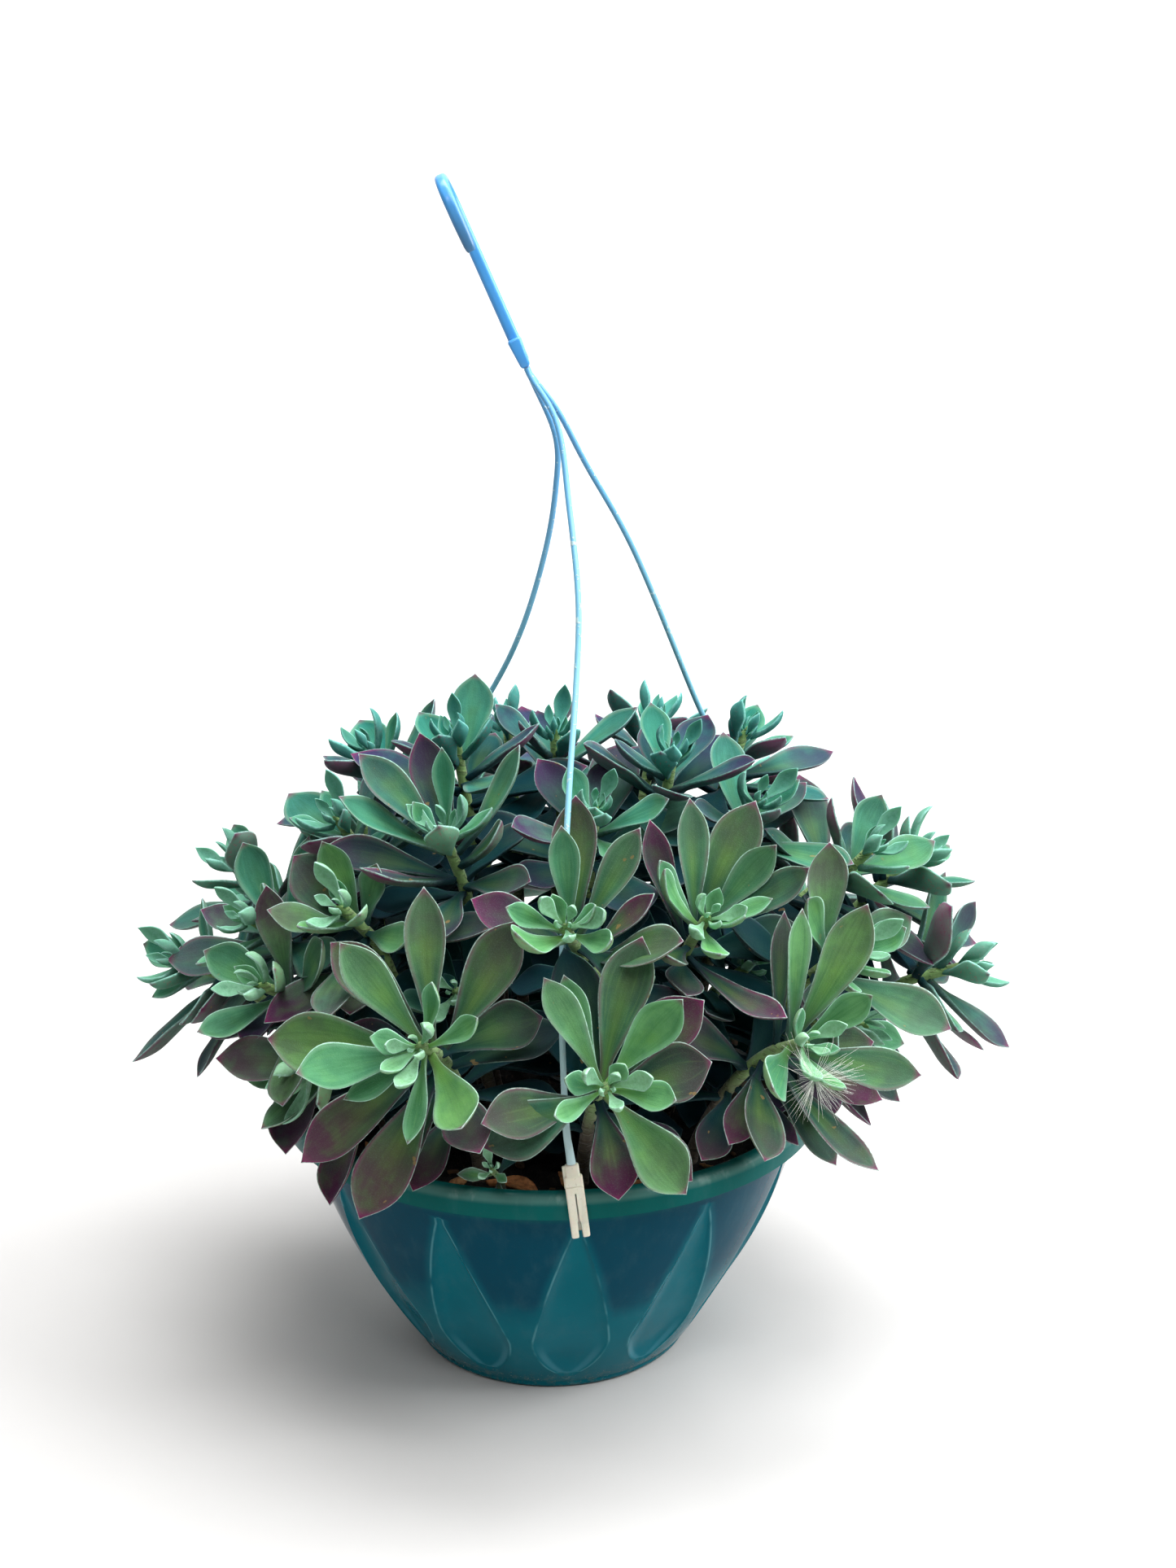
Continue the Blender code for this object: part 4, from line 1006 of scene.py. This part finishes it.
def foundLeaves(plan, tree):
    # For each planned leaf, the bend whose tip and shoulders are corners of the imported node.
    choices = bendChoices()
    found = []
    for leaf in plan:
        best = (0.8, None)
        for _, turn, lift, scale in choices:
            trial = bentLeaf(leaf, turn, lift, scale)
            for step in (0, -1, 1, -2, 2, -3, 3):
                shift = trial[2] * (step * growth["fuseShift"])
                gap = tree.find(trial[1] + shift)[2]
                if gap > 1.0:
                    continue
                score = gap + 0.5 * sum(tree.find(place + shift)[2] for place in shoulders(trial))
                if score < best[0]:
                    best = (score, (trial[0] + shift, trial[1] + shift, *trial[2:]))
            if best[0] < 0.02:
                break
        found.append(best[1])
    return found


# One leaf is modelled from a sphere, and every other leaf is a copy drawn onto its own midrib

leafForm = {
    "sides": 16, "rows": 25, "smallSides": 12, "smallRows": 15, "smallLeaf": 24,
    "widest": 0.72, "smallBack": 0.18, "foot": 0.21, "pinch": 0.42, "pinchLength": 3.2, "dome": 0.4, "cup": 0.85,
    "sideBend": 0.03, "twist": 16, "tipCurl": 0.05, "edgeWave": 0.6,
    "innerLeaves": 6, "innerLongest": 24, "innerShortest": 7,
}


def leafTemplate(name, sides, rows):
    # Returns the copy to draw from, with each corner's place along, around and off the midrib.
    bpy.ops.mesh.primitive_uv_sphere_add(segments=sides, ring_count=rows, radius=1)
    template = justMade(name)
    select(template)
    bpy.ops.object.shade_smooth()
    places = corners(template)
    along = 1 - (1 - np.arccos(np.clip(-places[:, 2], -1, 1)) / math.pi) ** 1.2
    turn = np.arctan2(places[:, 1], places[:, 0])
    off = (np.hypot(places[:, 0], places[:, 1]) > 1e-5).astype(float)
    return template, along, np.cos(turn) * off, np.sin(turn) * off


def leafOutline(along, length):
    foot = leafForm["foot"] - 0.05 * np.sin(math.pi * np.minimum(1, along / 0.3))
    widest = leafForm["widest"] - leafForm["smallBack"] * max(0.0, 1 - length / 30)
    grow = np.clip(along / widest, 0, 1)
    fade = np.clip((along - widest) / (1 - widest), 0, 1)
    grow = grow ** 1.25
    wide = foot + (1 - foot) * grow * grow * (3 - 2 * grow)
    blunt = 1 - fade ** 2.1
    pinch = 1 - leafForm["pinch"] * np.exp(-(1 - along) * length / leafForm["pinchLength"])
    return np.where(along <= widest, wide, blunt * pinch)


def drawnLeaf(source, leaf, draw, values):
    # A copy of the template drawn onto one leaf's midrib, in millimetres.
    template, along, across, face = source
    base, tip, axis, bow, width = leaf
    length = (tip - base).length
    ahead, side, up = (np.array(way) for way in leafFrame(leaf))
    twist = math.radians(draw.uniform(-1, 1) * leafForm["twist"])
    bend = draw.uniform(-1, 1) * leafForm["sideBend"] * length
    curl = draw.uniform(-0.2, 1) * leafForm["tipCurl"] * length
    wave = leafForm["edgeWave"] * draw.uniform(0.3, 1) * min(1, length / 40)
    phase = draw.uniform(0, 6.28)
    half = 0.5 * width * leafOutline(along, length)
    lift = growth["leafChannel"] * half * np.minimum(1, along * 3) * draw.uniform(0.8, 1.5)
    thin = 1 - 0.8 * np.clip((along - 0.72) / 0.28, 0, 1) ** 2
    low = min(growth["leafThickness"], 0.16 * length) * (1 - growth["leafTaper"] * along) * thin
    cup = leafForm["cup"]
    upper = lift * ((1 + cup) * across ** 2 - cup) + leafForm["dome"] * face * min(1, length / 30)
    under = lift * ((1 + 0.6 * cup) * across ** 2 - 0.6 * cup) - low * np.abs(face) ** 1.15
    height = np.where(face > 0, upper, under)
    height += wave * across ** 2 * np.sin(phase + along * 11 + across * 1.2) * np.sin(math.pi * along)
    sideways = half * across
    turned = twist * along
    sideways, height = sideways * np.cos(turned) - height * np.sin(turned), \
        sideways * np.sin(turned) + height * np.cos(turned)
    arch = bow * 4 * along * (1 - along) + curl * np.clip((along - 0.7) / 0.3, 0, 1) ** 2
    slope = (bow * 4 * (1 - 2 * along)) / length
    normal = up - slope[:, None] * ahead
    normal /= np.linalg.norm(normal, axis=1)[:, None]
    places = np.array(base) + np.outer(along * length, ahead) + np.outer(arch, up)
    places += np.outer(bend * 4 * along * (1 - along) - sideways, side) + normal * height[:, None]
    copy = template.copy()
    copy.data = template.data.copy()
    bpy.context.scene.collection.objects.link(copy)
    setCorners(copy, places * mm)
    setValues(copy, "leafAlong", along)
    setValues(copy, "leafAcross", np.abs(across))
    setValues(copy, "leafEdge", np.minimum((1 - np.abs(across)) * half, (1 - along) * length * 0.7))
    setValues(copy, "leafFace", 0.5 + 0.5 * face)
    for key, value in values.items():
        setValues(copy, key, value)
    return copy


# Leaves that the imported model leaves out: between its leaves, and lower down each stem

fillers = {
    "between": 9, "behindSeen": 7, "low": 5, "clear": 3.2, "fromSoil": 119, "rimReach": 112, "overRim": 131,
}


canopy = {"core": (0, 0, 110), "nearest": 8, "farthest": 110, "spread": 0.45, "few": 8, "many": 45}


def bladePoints(leaf, first=0.32):
    # Places spread over a leaf's blade, by which leaves keep clear of one another.
    base, tip, axis, bow, width = leaf
    ahead, side, up = leafFrame(leaf)
    spots = []
    for t in np.linspace(first, 0.97, 6):
        half = 0.5 * width * min(1.0, 0.35 + t, 3.2 * (1 - t) + 0.1)
        middle = base + (tip - base) * t + up * (bow * 4 * t * (1 - t))
        spots += [middle - side * half, middle, middle + side * half]
    return np.array(spots)


def fillerLeaf(route, axis, longest, phase, k, count, draw):
    # One wanted leaf of the spiral; below zero it stands lower on the stem.
    youth = k / count
    fade = max(0.0, (youth - 0.3) / 0.7)
    turn = math.radians(phase + k * growth["goldenTurn"] + draw.uniform(-24, 24))
    length = longest * (1 - growth["ruleShrink"] * fade * fade * (3 - 2 * fade)) * draw.uniform(0.72, 1.0)
    if youth < 0:
        length *= 0.85
    opening = math.radians(12 + 84 * max(0.0, 1 - youth) ** 0.8 + draw.uniform(-12, 12))
    base, along = routePoint(route, growth["ruleSpread"] * longest * max(0.0, 1 - youth) ** 1.5)
    radial = Matrix.Rotation(turn, 3, along) @ along.orthogonal().normalized()
    tip = base + (along * math.cos(opening) + radial * math.sin(opening)) * length
    return base, tip, along, length * (0.06 - 0.13 * youth), draw.uniform(0.36, 0.44) * length


def addFillers(shoots, fixed):
    # Every shoot gets more leaves wherever a wanted leaf finds room.
    blades = [bladePoints(leaf) for shoot in shoots for leaf in shoot["leaves"]]
    stems = [np.array([tuple(place) for place in smoothRoute(shoot["route"], 24)]) for shoot in shoots]
    taken = np.concatenate([*blades, *stems, fixed])
    added = 0
    for shoot in shoots:
        draw = random.Random("filler " + shoot["name"])
        if shoot["name"] == "pup":
            continue
        count = shoot["count"] or 9
        wanted = [k + 0.5 for k in range(fillers["between"])]
        if shoot["name"] in seenLeaves:
            wanted = [0.4 * k for k in range(fillers["behindSeen"])]
        wanted += [-0.55 * (k + 1) for k in range(fillers["low"])]
        centre = np.array(shoot["route"][-1])
        near = taken[np.linalg.norm(taken - centre, axis=1) < 135]
        for k in wanted:
            best = (fillers["clear"], None, None)
            for _ in range(9):
                trial = fillerLeaf(shoot["route"], shoot["axis"], shoot["longest"] or 58, shoot["phase"], k, count, draw)
                spots = bladePoints(trial)
                reach = np.hypot(spots[:, 0], spots[:, 1])
                floor = np.where(reach > fillers["rimReach"], fillers["overRim"], fillers["fromSoil"])
                if (spots[:, 2] < floor).any():
                    continue
                gap = np.sqrt(((near[:, None, :] - spots[None, :, :]) ** 2).sum(axis=2)).min()
                if gap > best[0]:
                    best = (gap, trial, spots)
            if best[1]:
                shoot["extra"].append((best[1], max(0.0, k / count)))
                taken = np.concatenate([taken, best[2]])
                near = np.concatenate([near, best[2]])
                added += 1
    print("filler leaves", added)


def innerLeaves(centre, axis, slim, draw):
    # The smallest leaves, folded round the bud.
    first = draw.uniform(0, 360)
    for k in range(leafForm["innerLeaves"]):
        share = k / (leafForm["innerLeaves"] - 1)
        length = slim * (leafForm["innerLongest"] * (1 - share) + leafForm["innerShortest"] * share)
        opening = math.radians(38 - 32 * share)
        turn = math.radians(first + k * growth["goldenTurn"])
        radial = Matrix.Rotation(turn, 3, axis) @ axis.orthogonal().normalized()
        base = centre + axis * (slim * (1.5 + 3 * share)) + radial * (slim * 0.8)
        tip = base + (axis * math.cos(opening) + radial * math.sin(opening)) * length
        yield base, tip, axis, -0.12 * length, 0.36 * length


def makeRosettes(leafSkin, stemSkin):
    big = leafTemplate("leaf_template", leafForm["sides"], leafForm["rows"])
    small = leafTemplate("small_template", leafForm["smallSides"], leafForm["smallRows"])
    for template in (big[0], small[0]):
        template.data.materials.append(leafSkin)
    shoots = []
    spots = allRosettes()
    for (name, centre, faced, longest, count, phase), root in zip(spots, spreadRoots(spots)):
        centre, axis = Vector(centre), direction(*faced)
        places, tree = nodeTree(f"rosette_{name}")
        route = foundStem(name, root, centre, axis, places, tree)
        found = foundLeaves(leafPlan(name, route, axis, longest, count, phase), tree)
        ages = [k / len(found) for k, leaf in enumerate(found) if leaf]
        shoots.append({"name": name, "route": route, "axis": axis, "longest": longest, "count": count,
                       "phase": phase, "leaves": [leaf for leaf in found if leaf], "ages": ages, "extra": []})
    print("packed leaves found again:", sum(len(shoot["leaves"]) for shoot in shoots))
    strands = [tuple(place) for _, route in strandRoutes() for place in route]
    rim = [tuple(around(turn, 125, height)) for turn in range(0, 360, 3) for height in (118, 126)]
    clips = [tuple(around(hanger["clipTurn"] + 120 * third, 127, height))
             for third in (0, 1, 2) for height in (110, 125, 133, 141)]
    addFillers(shoots, np.array(strands + rim + clips))
    blades = np.concatenate([bladePoints(leaf) for shoot in shoots
                             for leaf in (*shoot["leaves"], *(leaf for leaf, _ in shoot["extra"]))])
    for shoot in shoots:
        name, route, axis = shoot["name"], shoot["route"], shoot["axis"]
        draw = random.Random(name)
        slim = 0.5 if name == "pup" else 1.0
        centre = route[-1]
        paintedBlueShade = paintedBlueShadeOf(centre)
        pieces = []
        for leaf, age in [*zip(shoot["leaves"], shoot["ages"]), *shoot["extra"]]:
            long = (leaf[1] - leaf[0]).length > leafForm["smallLeaf"]
            source = big if long else small
            values = {"leafAge": age, "leafTint": draw.random(), "leafCool": paintedBlueShade,
                      "leafDeep": np.interp(source[1], (0.15, 0.55, 0.95), paintedShadeAlong(leaf, blades)),
                      "leafBlush": blushOf(leaf, age, centre, draw, name in seenLeaves)}
            pieces.append(drawnLeaf(source, leaf, draw, values))
        for leaf in innerLeaves(centre, axis, slim, draw):
            values = {"leafAge": 1.2, "leafTint": draw.random(), "leafCool": paintedBlueShade, "leafDeep": 0, "leafBlush": 0}
            pieces.append(drawnLeaf(small, leaf, draw, values))
        bud = [*smoothRoute(route, 26), centre + axis * (slim * growth["budLength"])]
        radii = [slim * (growth["stemRootRadius"] + (growth["stemTipRadius"] - growth["stemRootRadius"]) * k / 25)
                 for k in range(26)]
        stem = roundBar("stem", bud, [*radii, 0.5], 2)
        smooth(stem, 60)
        stem.data.materials.append(stemSkin)
        rosette = joined([*pieces, stem], f"leafy_{name}")
        handOver(rosette, "leaf", f"rosette_{name}")
    bpy.data.objects.remove(big[0])
    bpy.data.objects.remove(small[0])
    print("rosettes grown")


# Dry leaves on the soil, and a tuft of stray down on a low leaf

litter = {
    "dryLeaves": [  # turn from the front, reach, heading, length
        (-9, 97, 70, 25), (-2, 101, 110, 19), (5, 92, 20, 22), (-24, 98, 140, 18), (21, 98, 75, 22),
        (47, 96, 10, 24), (76, 90, 120, 20), (-52, 95, 40, 22), (140, 92, 60, 22), (215, 94, 100, 20),
    ],
    "tuftPlace": (106, -128, 178), "hairs": 160, "hairLength": 22, "hairRadius": 0.07,
}


def makeDryLeaves(finish):
    source = leafTemplate("dry_template", leafForm["smallSides"], leafForm["smallRows"])
    source[0].data.materials.append(finish)
    draw = random.Random(8)
    pieces = []
    for turn, reach, heading, length in litter["dryLeaves"]:
        middle = around(turn, reach, 0)
        middle.z = groundHeight(middle.x, middle.y) + 2.0
        way = around(heading, 0.5 * length, draw.uniform(-1.5, 1.5))
        leaf = (middle - way, middle + way, Vector((0, 0, 1)), draw.uniform(-0.14, 0.10) * length, 0.40 * length)
        pieces.append(drawnLeaf(source, leaf, draw, {"tint": draw.random()}))
    handOver(joined(pieces, "dry_leaves"), "soil")
    bpy.data.objects.remove(source[0])
    print("dry leaves scattered")


def makeTuft(finish):
    # Fine hairs spread from the leaf that lies nearest the tuft's place.
    places = corners(bpy.data.objects["leafy_front_right"]) / mm
    goal = np.array(litter["tuftPlace"])
    root = Vector(places[np.linalg.norm(places - goal, axis=1).argmin()])
    draw = random.Random(3)
    curve = bpy.data.curves.new("down_tuft", "CURVE")
    curve.dimensions = "3D"
    curve.bevel_depth = litter["hairRadius"] * mm
    curve.bevel_resolution = 0
    curve.use_fill_caps = True
    for _ in range(litter["hairs"]):
        way = Vector((draw.uniform(-0.5, 1), draw.uniform(-1, 0.3), draw.uniform(-0.8, 0.7))).normalized()
        bow = way.orthogonal().normalized() * draw.uniform(-0.35, 0.35)
        length = litter["hairLength"] * draw.uniform(0.4, 1)
        spline = curve.splines.new("POLY")
        spline.points.add(4)
        for step, point in enumerate(spline.points):
            share = step / 4
            point.co = (*((root + (way * share + bow * share * share) * length) * mm), 1)
            point.radius = 1 - 0.6 * share
    tuft = bpy.data.objects.new("down_tuft", curve)
    bpy.context.scene.collection.objects.link(tuft)
    tuft = meshFromCurve(tuft)
    tuft.data.materials.append(finish)
    handOver(tuft, "leaf")
    print("tuft of down set")


def dryLeafFinish():
    dry = Finish("dry leaf", Specular_IOR_Level=0.2)
    vein = dry.mottle(2.2, 3, 0.6)
    tint = dry.value("tint")
    tan = dry.mix(tint, (0.500, 0.200, 0.075), (0.470, 0.280, 0.130))
    colour = dry.mix(dry.ease(vein, 0.40, 0.66) * 0.7, tan, (0.190, 0.072, 0.030))
    return dry.feed(Base_Color=colour, Roughness=vein * 0.2 + 0.6, Normal=dry.bump(vein, 0.5))


def downFinish():
    down = Finish("white down", Specular_IOR_Level=0.3)
    shade = down.mottle(3, 2)
    colour = down.mix(shade, (0.60, 0.62, 0.56), (0.86, 0.88, 0.84))
    return down.feed(Base_Color=colour, Roughness=shade * 0.2 + 0.5)


def paintedBlueShadeOf(centre):
    # Rosettes high up and at the back are bluer than those at the front: a painted blue of shade.
    back = min(1.0, max(0.0, (centre.y + 100) / 90))
    high = min(1.0, max(0.0, (centre.z - 230) / 50))
    return min(1.0, 0.10 + 0.60 * back + 0.35 * high)


def paintedShadeAlong(leaf, blades):
    # Painted shade at three places along the leaf, from 0 on the outside to 1 under many other leaves.
    base, tip, _, bow, _ = leaf
    shares = []
    for t in (0.15, 0.55, 0.95):
        place = base.lerp(tip, t)
        out = np.array((place - Vector(canopy["core"])).normalized())
        apart = blades - np.array(place)
        ahead = apart @ out
        near = apart[(ahead > canopy["nearest"]) & (ahead < canopy["farthest"])]
        ahead = near @ out
        aside = np.sqrt(np.maximum(0, (near ** 2).sum(axis=1) - ahead ** 2))
        over = np.count_nonzero(aside < 6 + canopy["spread"] * ahead)
        shares.append(min(1.0, max(0.0, (over - canopy["few"]) / canopy["many"])))
    return shares


def blushOf(leaf, age, centre, draw, seen):
    # Old leaves and those that hang below their rosette turn purple, and out of sight of the photo a few others.
    share, luck = draw.random(), draw.random()
    if seen:
        return min(1.0, max(0.0, 1 - age / 0.6) * (0.65 + 0.55 * share))
    old = max(0.0, 1 - age / 0.7)
    low = min(1.0, max(0.0, (centre.z - leaf[1].z) / 45))
    stray = 0.6 + 0.4 * share if age < 0.7 and luck < 0.20 + 0.40 * paintedBlueShadeOf(centre) else 0.0
    return min(1.0, max(stray, old * (0.25 + 0.9 * share) + 0.4 * low * old))


def leafFinish():
    leaf = Finish("felted leaf", Specular_IOR_Level=0.06, Sheen_Weight=0.04, Sheen_Roughness=0.4,
                  Sheen_Tint=(0.40, 0.98, 0.90, 1.0), Specular_Tint=(0.40, 1.0, 1.0, 1.0),
                  Subsurface_Weight=0.10, Subsurface_Scale=0.003,
                  Subsurface_Radius=(0.4, 1.0, 0.4))
    along, across, edge = leaf.value("leafAlong"), leaf.value("leafAcross"), leaf.value("leafEdge")
    face, age, tint = leaf.value("leafFace"), leaf.value("leafAge"), leaf.value("leafTint")
    paintedBlueShade, blush, deep = leaf.value("leafCool"), leaf.value("leafBlush"), leaf.value("leafDeep")
    cloud = leaf.mottle(9, 3, 0.55)
    patch = leaf.mottle(17, 2, 0.5)
    fleck = leaf.mottle(1.6, 3, 0.6)
    down = leaf.mottle(0.45, 2, 0.6)
    # Veins run the leaf's length
    course = leaf.node("ShaderNodeCombineXYZ", {}, [across * 5, along * 1.6, tint * 37])
    vein = leaf.node("ShaderNodeTexNoise", {}, {"Vector": course, "Scale": 1.6, "Detail": 3, "Roughness": 0.55})
    # Green of the upper face: bright when young, bluer at the back, where the blue is painted shade
    green = leaf.mix(leaf.ease(age, 0.10, 0.65), (0.018, 0.098, 0.044), (0.130, 0.325, 0.120))
    blue = leaf.mix(leaf.ease(age, 0.0, 0.6), (0.005, 0.080, 0.085), (0.012, 0.170, 0.155))
    green = leaf.mix(paintedBlueShade * 0.9, green, blue)
    green = leaf.mix(leaf.ease(tint, 0.55, 1.0) * (0.5 - paintedBlueShade * 0.3), green, (0.110, 0.300, 0.035))
    green = leaf.mix(leaf.ease(tint, 0.45, 0.0) * 0.5, green, (0.010, 0.140, 0.095))
    green = leaf.mix(leaf.ease(cloud, 0.35, 0.70) * 0.35, green, (0.010, 0.090, 0.050))
    green = leaf.mix(leaf.ease(patch, 0.50, 0.72) * (0.35 - paintedBlueShade * 0.2), green, (0.130, 0.310, 0.050))
    # A yellow-green foot and channel, and a lighter band inside the margin that is a painted sheen
    middle = leaf.ease(across, 0.60, 0.05) * leaf.ease(along, 0.92, 0.45)
    green = leaf.mix(middle * leaf.ease(age, 0.65, 0.2) * 0.45, green, (0.150, 0.290, 0.030))
    # A darker streak down the channel of younger leaves: painted shade in the midrib's groove
    green = leaf.mix(middle * leaf.ease(age, 0.4, 0.8) * 0.45, green, (0.022, 0.120, 0.034))
    green = leaf.mix(leaf.ease(vein, 0.44, 0.66) * 0.24, green, (0.014, 0.095, 0.024))
    green = leaf.mix(leaf.ease(vein, 0.44, 0.28) * (0.20 - paintedBlueShade * 0.1), green, (0.160, 0.360, 0.090))
    # A lighter band inside the margin: painted sheen
    green = leaf.mix(leaf.ease(edge, 2.6, 0.5) * leaf.ease(along, 0.10, 0.45) * 0.32, green, (0.240, 0.520, 0.330))
    green = leaf.mix(leaf.ease(along, 0.42, 0.02) * (0.6 - paintedBlueShade * 0.45), green, (0.17, 0.36, 0.06))
    # Sun blush of the older leaves, strongest at the tip and inside the margin
    tipward = leaf.ease(along, 0.25, 0.90)
    blushed = blush * (tipward * 0.7 + 0.3) * leaf.ease(cloud, 0.25, 0.60, 0.7, 1.0)
    dusk = leaf.mix(paintedBlueShade, (0.088, 0.010, 0.050), (0.034, 0.011, 0.072))
    upper = leaf.mix(blushed * 0.95, green, dusk)
    rim = leaf.ease(edge, 2.0, 0.3) * leaf.ease(age, 0.85, 0.15) * leaf.ease(cloud, 0.30, 0.60, 0.5, 1.0)
    upper = leaf.mix(rim * (blush * 0.5 + 0.4), upper, (0.145, 0.016, 0.075))
    # Underside: grey olive, purple on old leaves
    lower = leaf.mix(cloud, (0.13, 0.28, 0.12), (0.28, 0.44, 0.21))
    lower = leaf.mix(paintedBlueShade * 0.92, lower, (0.03, 0.18, 0.17))
    lower = leaf.mix(leaf.ease(fleck, 0.55, 0.68) * 0.45, lower, (0.28, 0.070, 0.100))
    lower = leaf.mix(blushed * 0.85 + rim * 0.35, lower, (0.145, 0.026, 0.085))
    colour = leaf.mix(leaf.ease(face, 0.46, 0.54), lower, upper)
    tipDot = leaf.ease(along, 0.92, 0.99) * leaf.ease(age, 1.1, 0.7)
    colour = leaf.mix(tipDot * 0.75, colour, (0.140, 0.012, 0.070))
    # Silvery down: all over the smallest leaves, a thin pale margin on the rest, and a grain
    silver = leaf.ease(age, 0.80, 1.15) * leaf.ease(fleck, 0.30, 0.65, 0.55, 0.95)
    colour = leaf.mix(silver * 0.7, colour, leaf.mix(paintedBlueShade, (0.320, 0.580, 0.380), (0.060, 0.240, 0.215)))
    margin = leaf.ease(edge, 0.55, 0.1) * leaf.ease(along, 0.05, 0.3) * leaf.ease(fleck, 0.35, 0.60, 0.35, 1.0)
    colour = leaf.mix(margin * 0.65, colour, leaf.mix(paintedBlueShade, (0.46, 0.68, 0.60), (0.22, 0.50, 0.47)))
    colour = leaf.mix(leaf.ease(down, 0.50, 0.80) * 0.08, colour, leaf.mix(paintedBlueShade, (0.36, 0.56, 0.46), (0.10, 0.34, 0.32)))
    # Leaves lying under many others are painted dark teal: painted shade
    colour = leaf.mix(deep * 0.92, colour, (0.0012, 0.024, 0.034))
    scar = leaf.ease(leaf.mottle(4.5, 2, 0.4), 0.735, 0.76) * leaf.ease(age, 0.7, 0.2)
    colour = leaf.mix(scar * 0.7, colour, (0.25, 0.17, 0.065))
    roughness = fleck * 0.2 + 0.42
    height = down * 0.5 + fleck * 0.4 + cloud * 0.8
    return leaf.feed(Base_Color=colour, Roughness=roughness, Normal=leaf.bump(height, 0.28, 0.8))


def stemFinish():
    stem = Finish("stem bark", Specular_IOR_Level=0.3, Sheen_Weight=0.2)
    along = stem.value("along")
    grain = stem.mottle(2.5, 4, 0.65, (1, 1, 0.5))
    ring = stem.ease(stem.mottle(3.2, 2, 0.5, (0.5, 0.5, 1.6)), 0.50, 0.62)
    wood = stem.mix(grain, (0.045, 0.038, 0.028), (0.13, 0.105, 0.070))
    fresh = stem.mix(grain, (0.10, 0.21, 0.060), (0.24, 0.38, 0.13))
    colour = stem.mix(stem.ease(along, 0.40, 0.72), wood, fresh)
    colour = stem.mix(ring * 0.30, colour, (0.07, 0.045, 0.030))
    return stem.feed(Base_Color=colour, Roughness=grain * 0.2 + 0.6, Normal=stem.bump(grain + ring, 0.5))


# Floor, backdrop and light

studio = {
    "floor": (-4, -3.2, 4, 1.9), "wallHeight": 3.2, "coveRadius": 1.0,
    "skyColour": (0.94, 1.0, 1.03), "skyLight": 0.44, "paper": (0.53, 0.525, 0.52),
    "lights": [  # place, aimed at, size, watts
        ("sideLight", (1.10, -0.14, 1.18), (0, 0, 0.2), 1.4, 40),
        ("frontLight", (0.25, -1.10, 1.65), (0, 0, 0.2), 0.9, 14),
        ("glintLight", (-0.35, -0.90, 1.00), (0, 0, 0.1), 0.07, 1.2),
        ("wallLight", (0, 0.3, 2.4), (0, 1.9, 1.2), 2.0, 108),
    ],
}


def makeStudio():
    left, front, right, back = studio["floor"]
    bpy.ops.mesh.primitive_plane_add(size=1, location=(0.5 * (left + right), 0.5 * (front + back), 0))
    floor = justMade("studio_floor")
    floor.scale = (right - left, back - front, 1)
    placeInMesh(floor)
    bpy.ops.object.mode_set(mode="EDIT")
    bpy.ops.mesh.select_mode(type="EDGE")
    sheet = bmesh.from_edit_mesh(floor.data)
    for edge in sheet.edges:
        edge.select_set(all(abs(vertex.co.y - back) < 0.001 for vertex in edge.verts))
    bmesh.update_edit_mesh(floor.data)
    bpy.ops.mesh.extrude_region_move(TRANSFORM_OT_translate={"value": (0, 0, studio["wallHeight"])})
    bpy.ops.object.mode_set(mode="OBJECT")
    cove = floor.modifiers.new("cove", "BEVEL")
    cove.width = studio["coveRadius"]
    cove.segments = 24
    applyModifiers(floor)
    bpy.ops.object.shade_smooth()
    paper = Finish("pale paper sweep", Specular_IOR_Level=0.1)
    grain = paper.mottle(3, 3)
    cloud = paper.mottle(300, 2)
    colour = paper.mix(cloud * 0.05 + grain * 0.02, studio["paper"], (0.55, 0.55, 0.55))
    floor.data.materials.append(paper.feed(Base_Color=colour, Roughness=grain * 0.1 + 0.75))
    world = bpy.data.worlds.new("studio")
    world.use_nodes = True
    world.node_tree.nodes["Background"].inputs["Color"].default_value = (*studio["skyColour"], 1.0)
    world.node_tree.nodes["Background"].inputs["Strength"].default_value = studio["skyLight"]
    bpy.context.scene.world = world
    bpy.context.scene.view_settings.view_transform = "Standard"
    for name, place, goal, size, watts in studio["lights"]:
        lamp = bpy.data.lights.new(name, "AREA")
        lamp.shape = "DISK"
        lamp.size = size
        lamp.energy = watts
        light = bpy.data.objects.new(name, lamp)
        bpy.context.scene.collection.objects.link(light)
        light.location = place
        light.rotation_euler = (Vector(goal) - Vector(place)).to_track_quat("-Z", "Y").to_euler()
    print("studio lit")


setCamera()
makeHook(hookFinish())
makeStrands(strandFinish())
makeClips(clipFinish())
makeBowl(bowlPlastic())
makeSoil(soilFinish())
makeChips(barkFinish())
makeRosettes(leafFinish(), stemFinish())
makeDryLeaves(dryLeafFinish())
makeTuft(downFinish())
makeStudio()
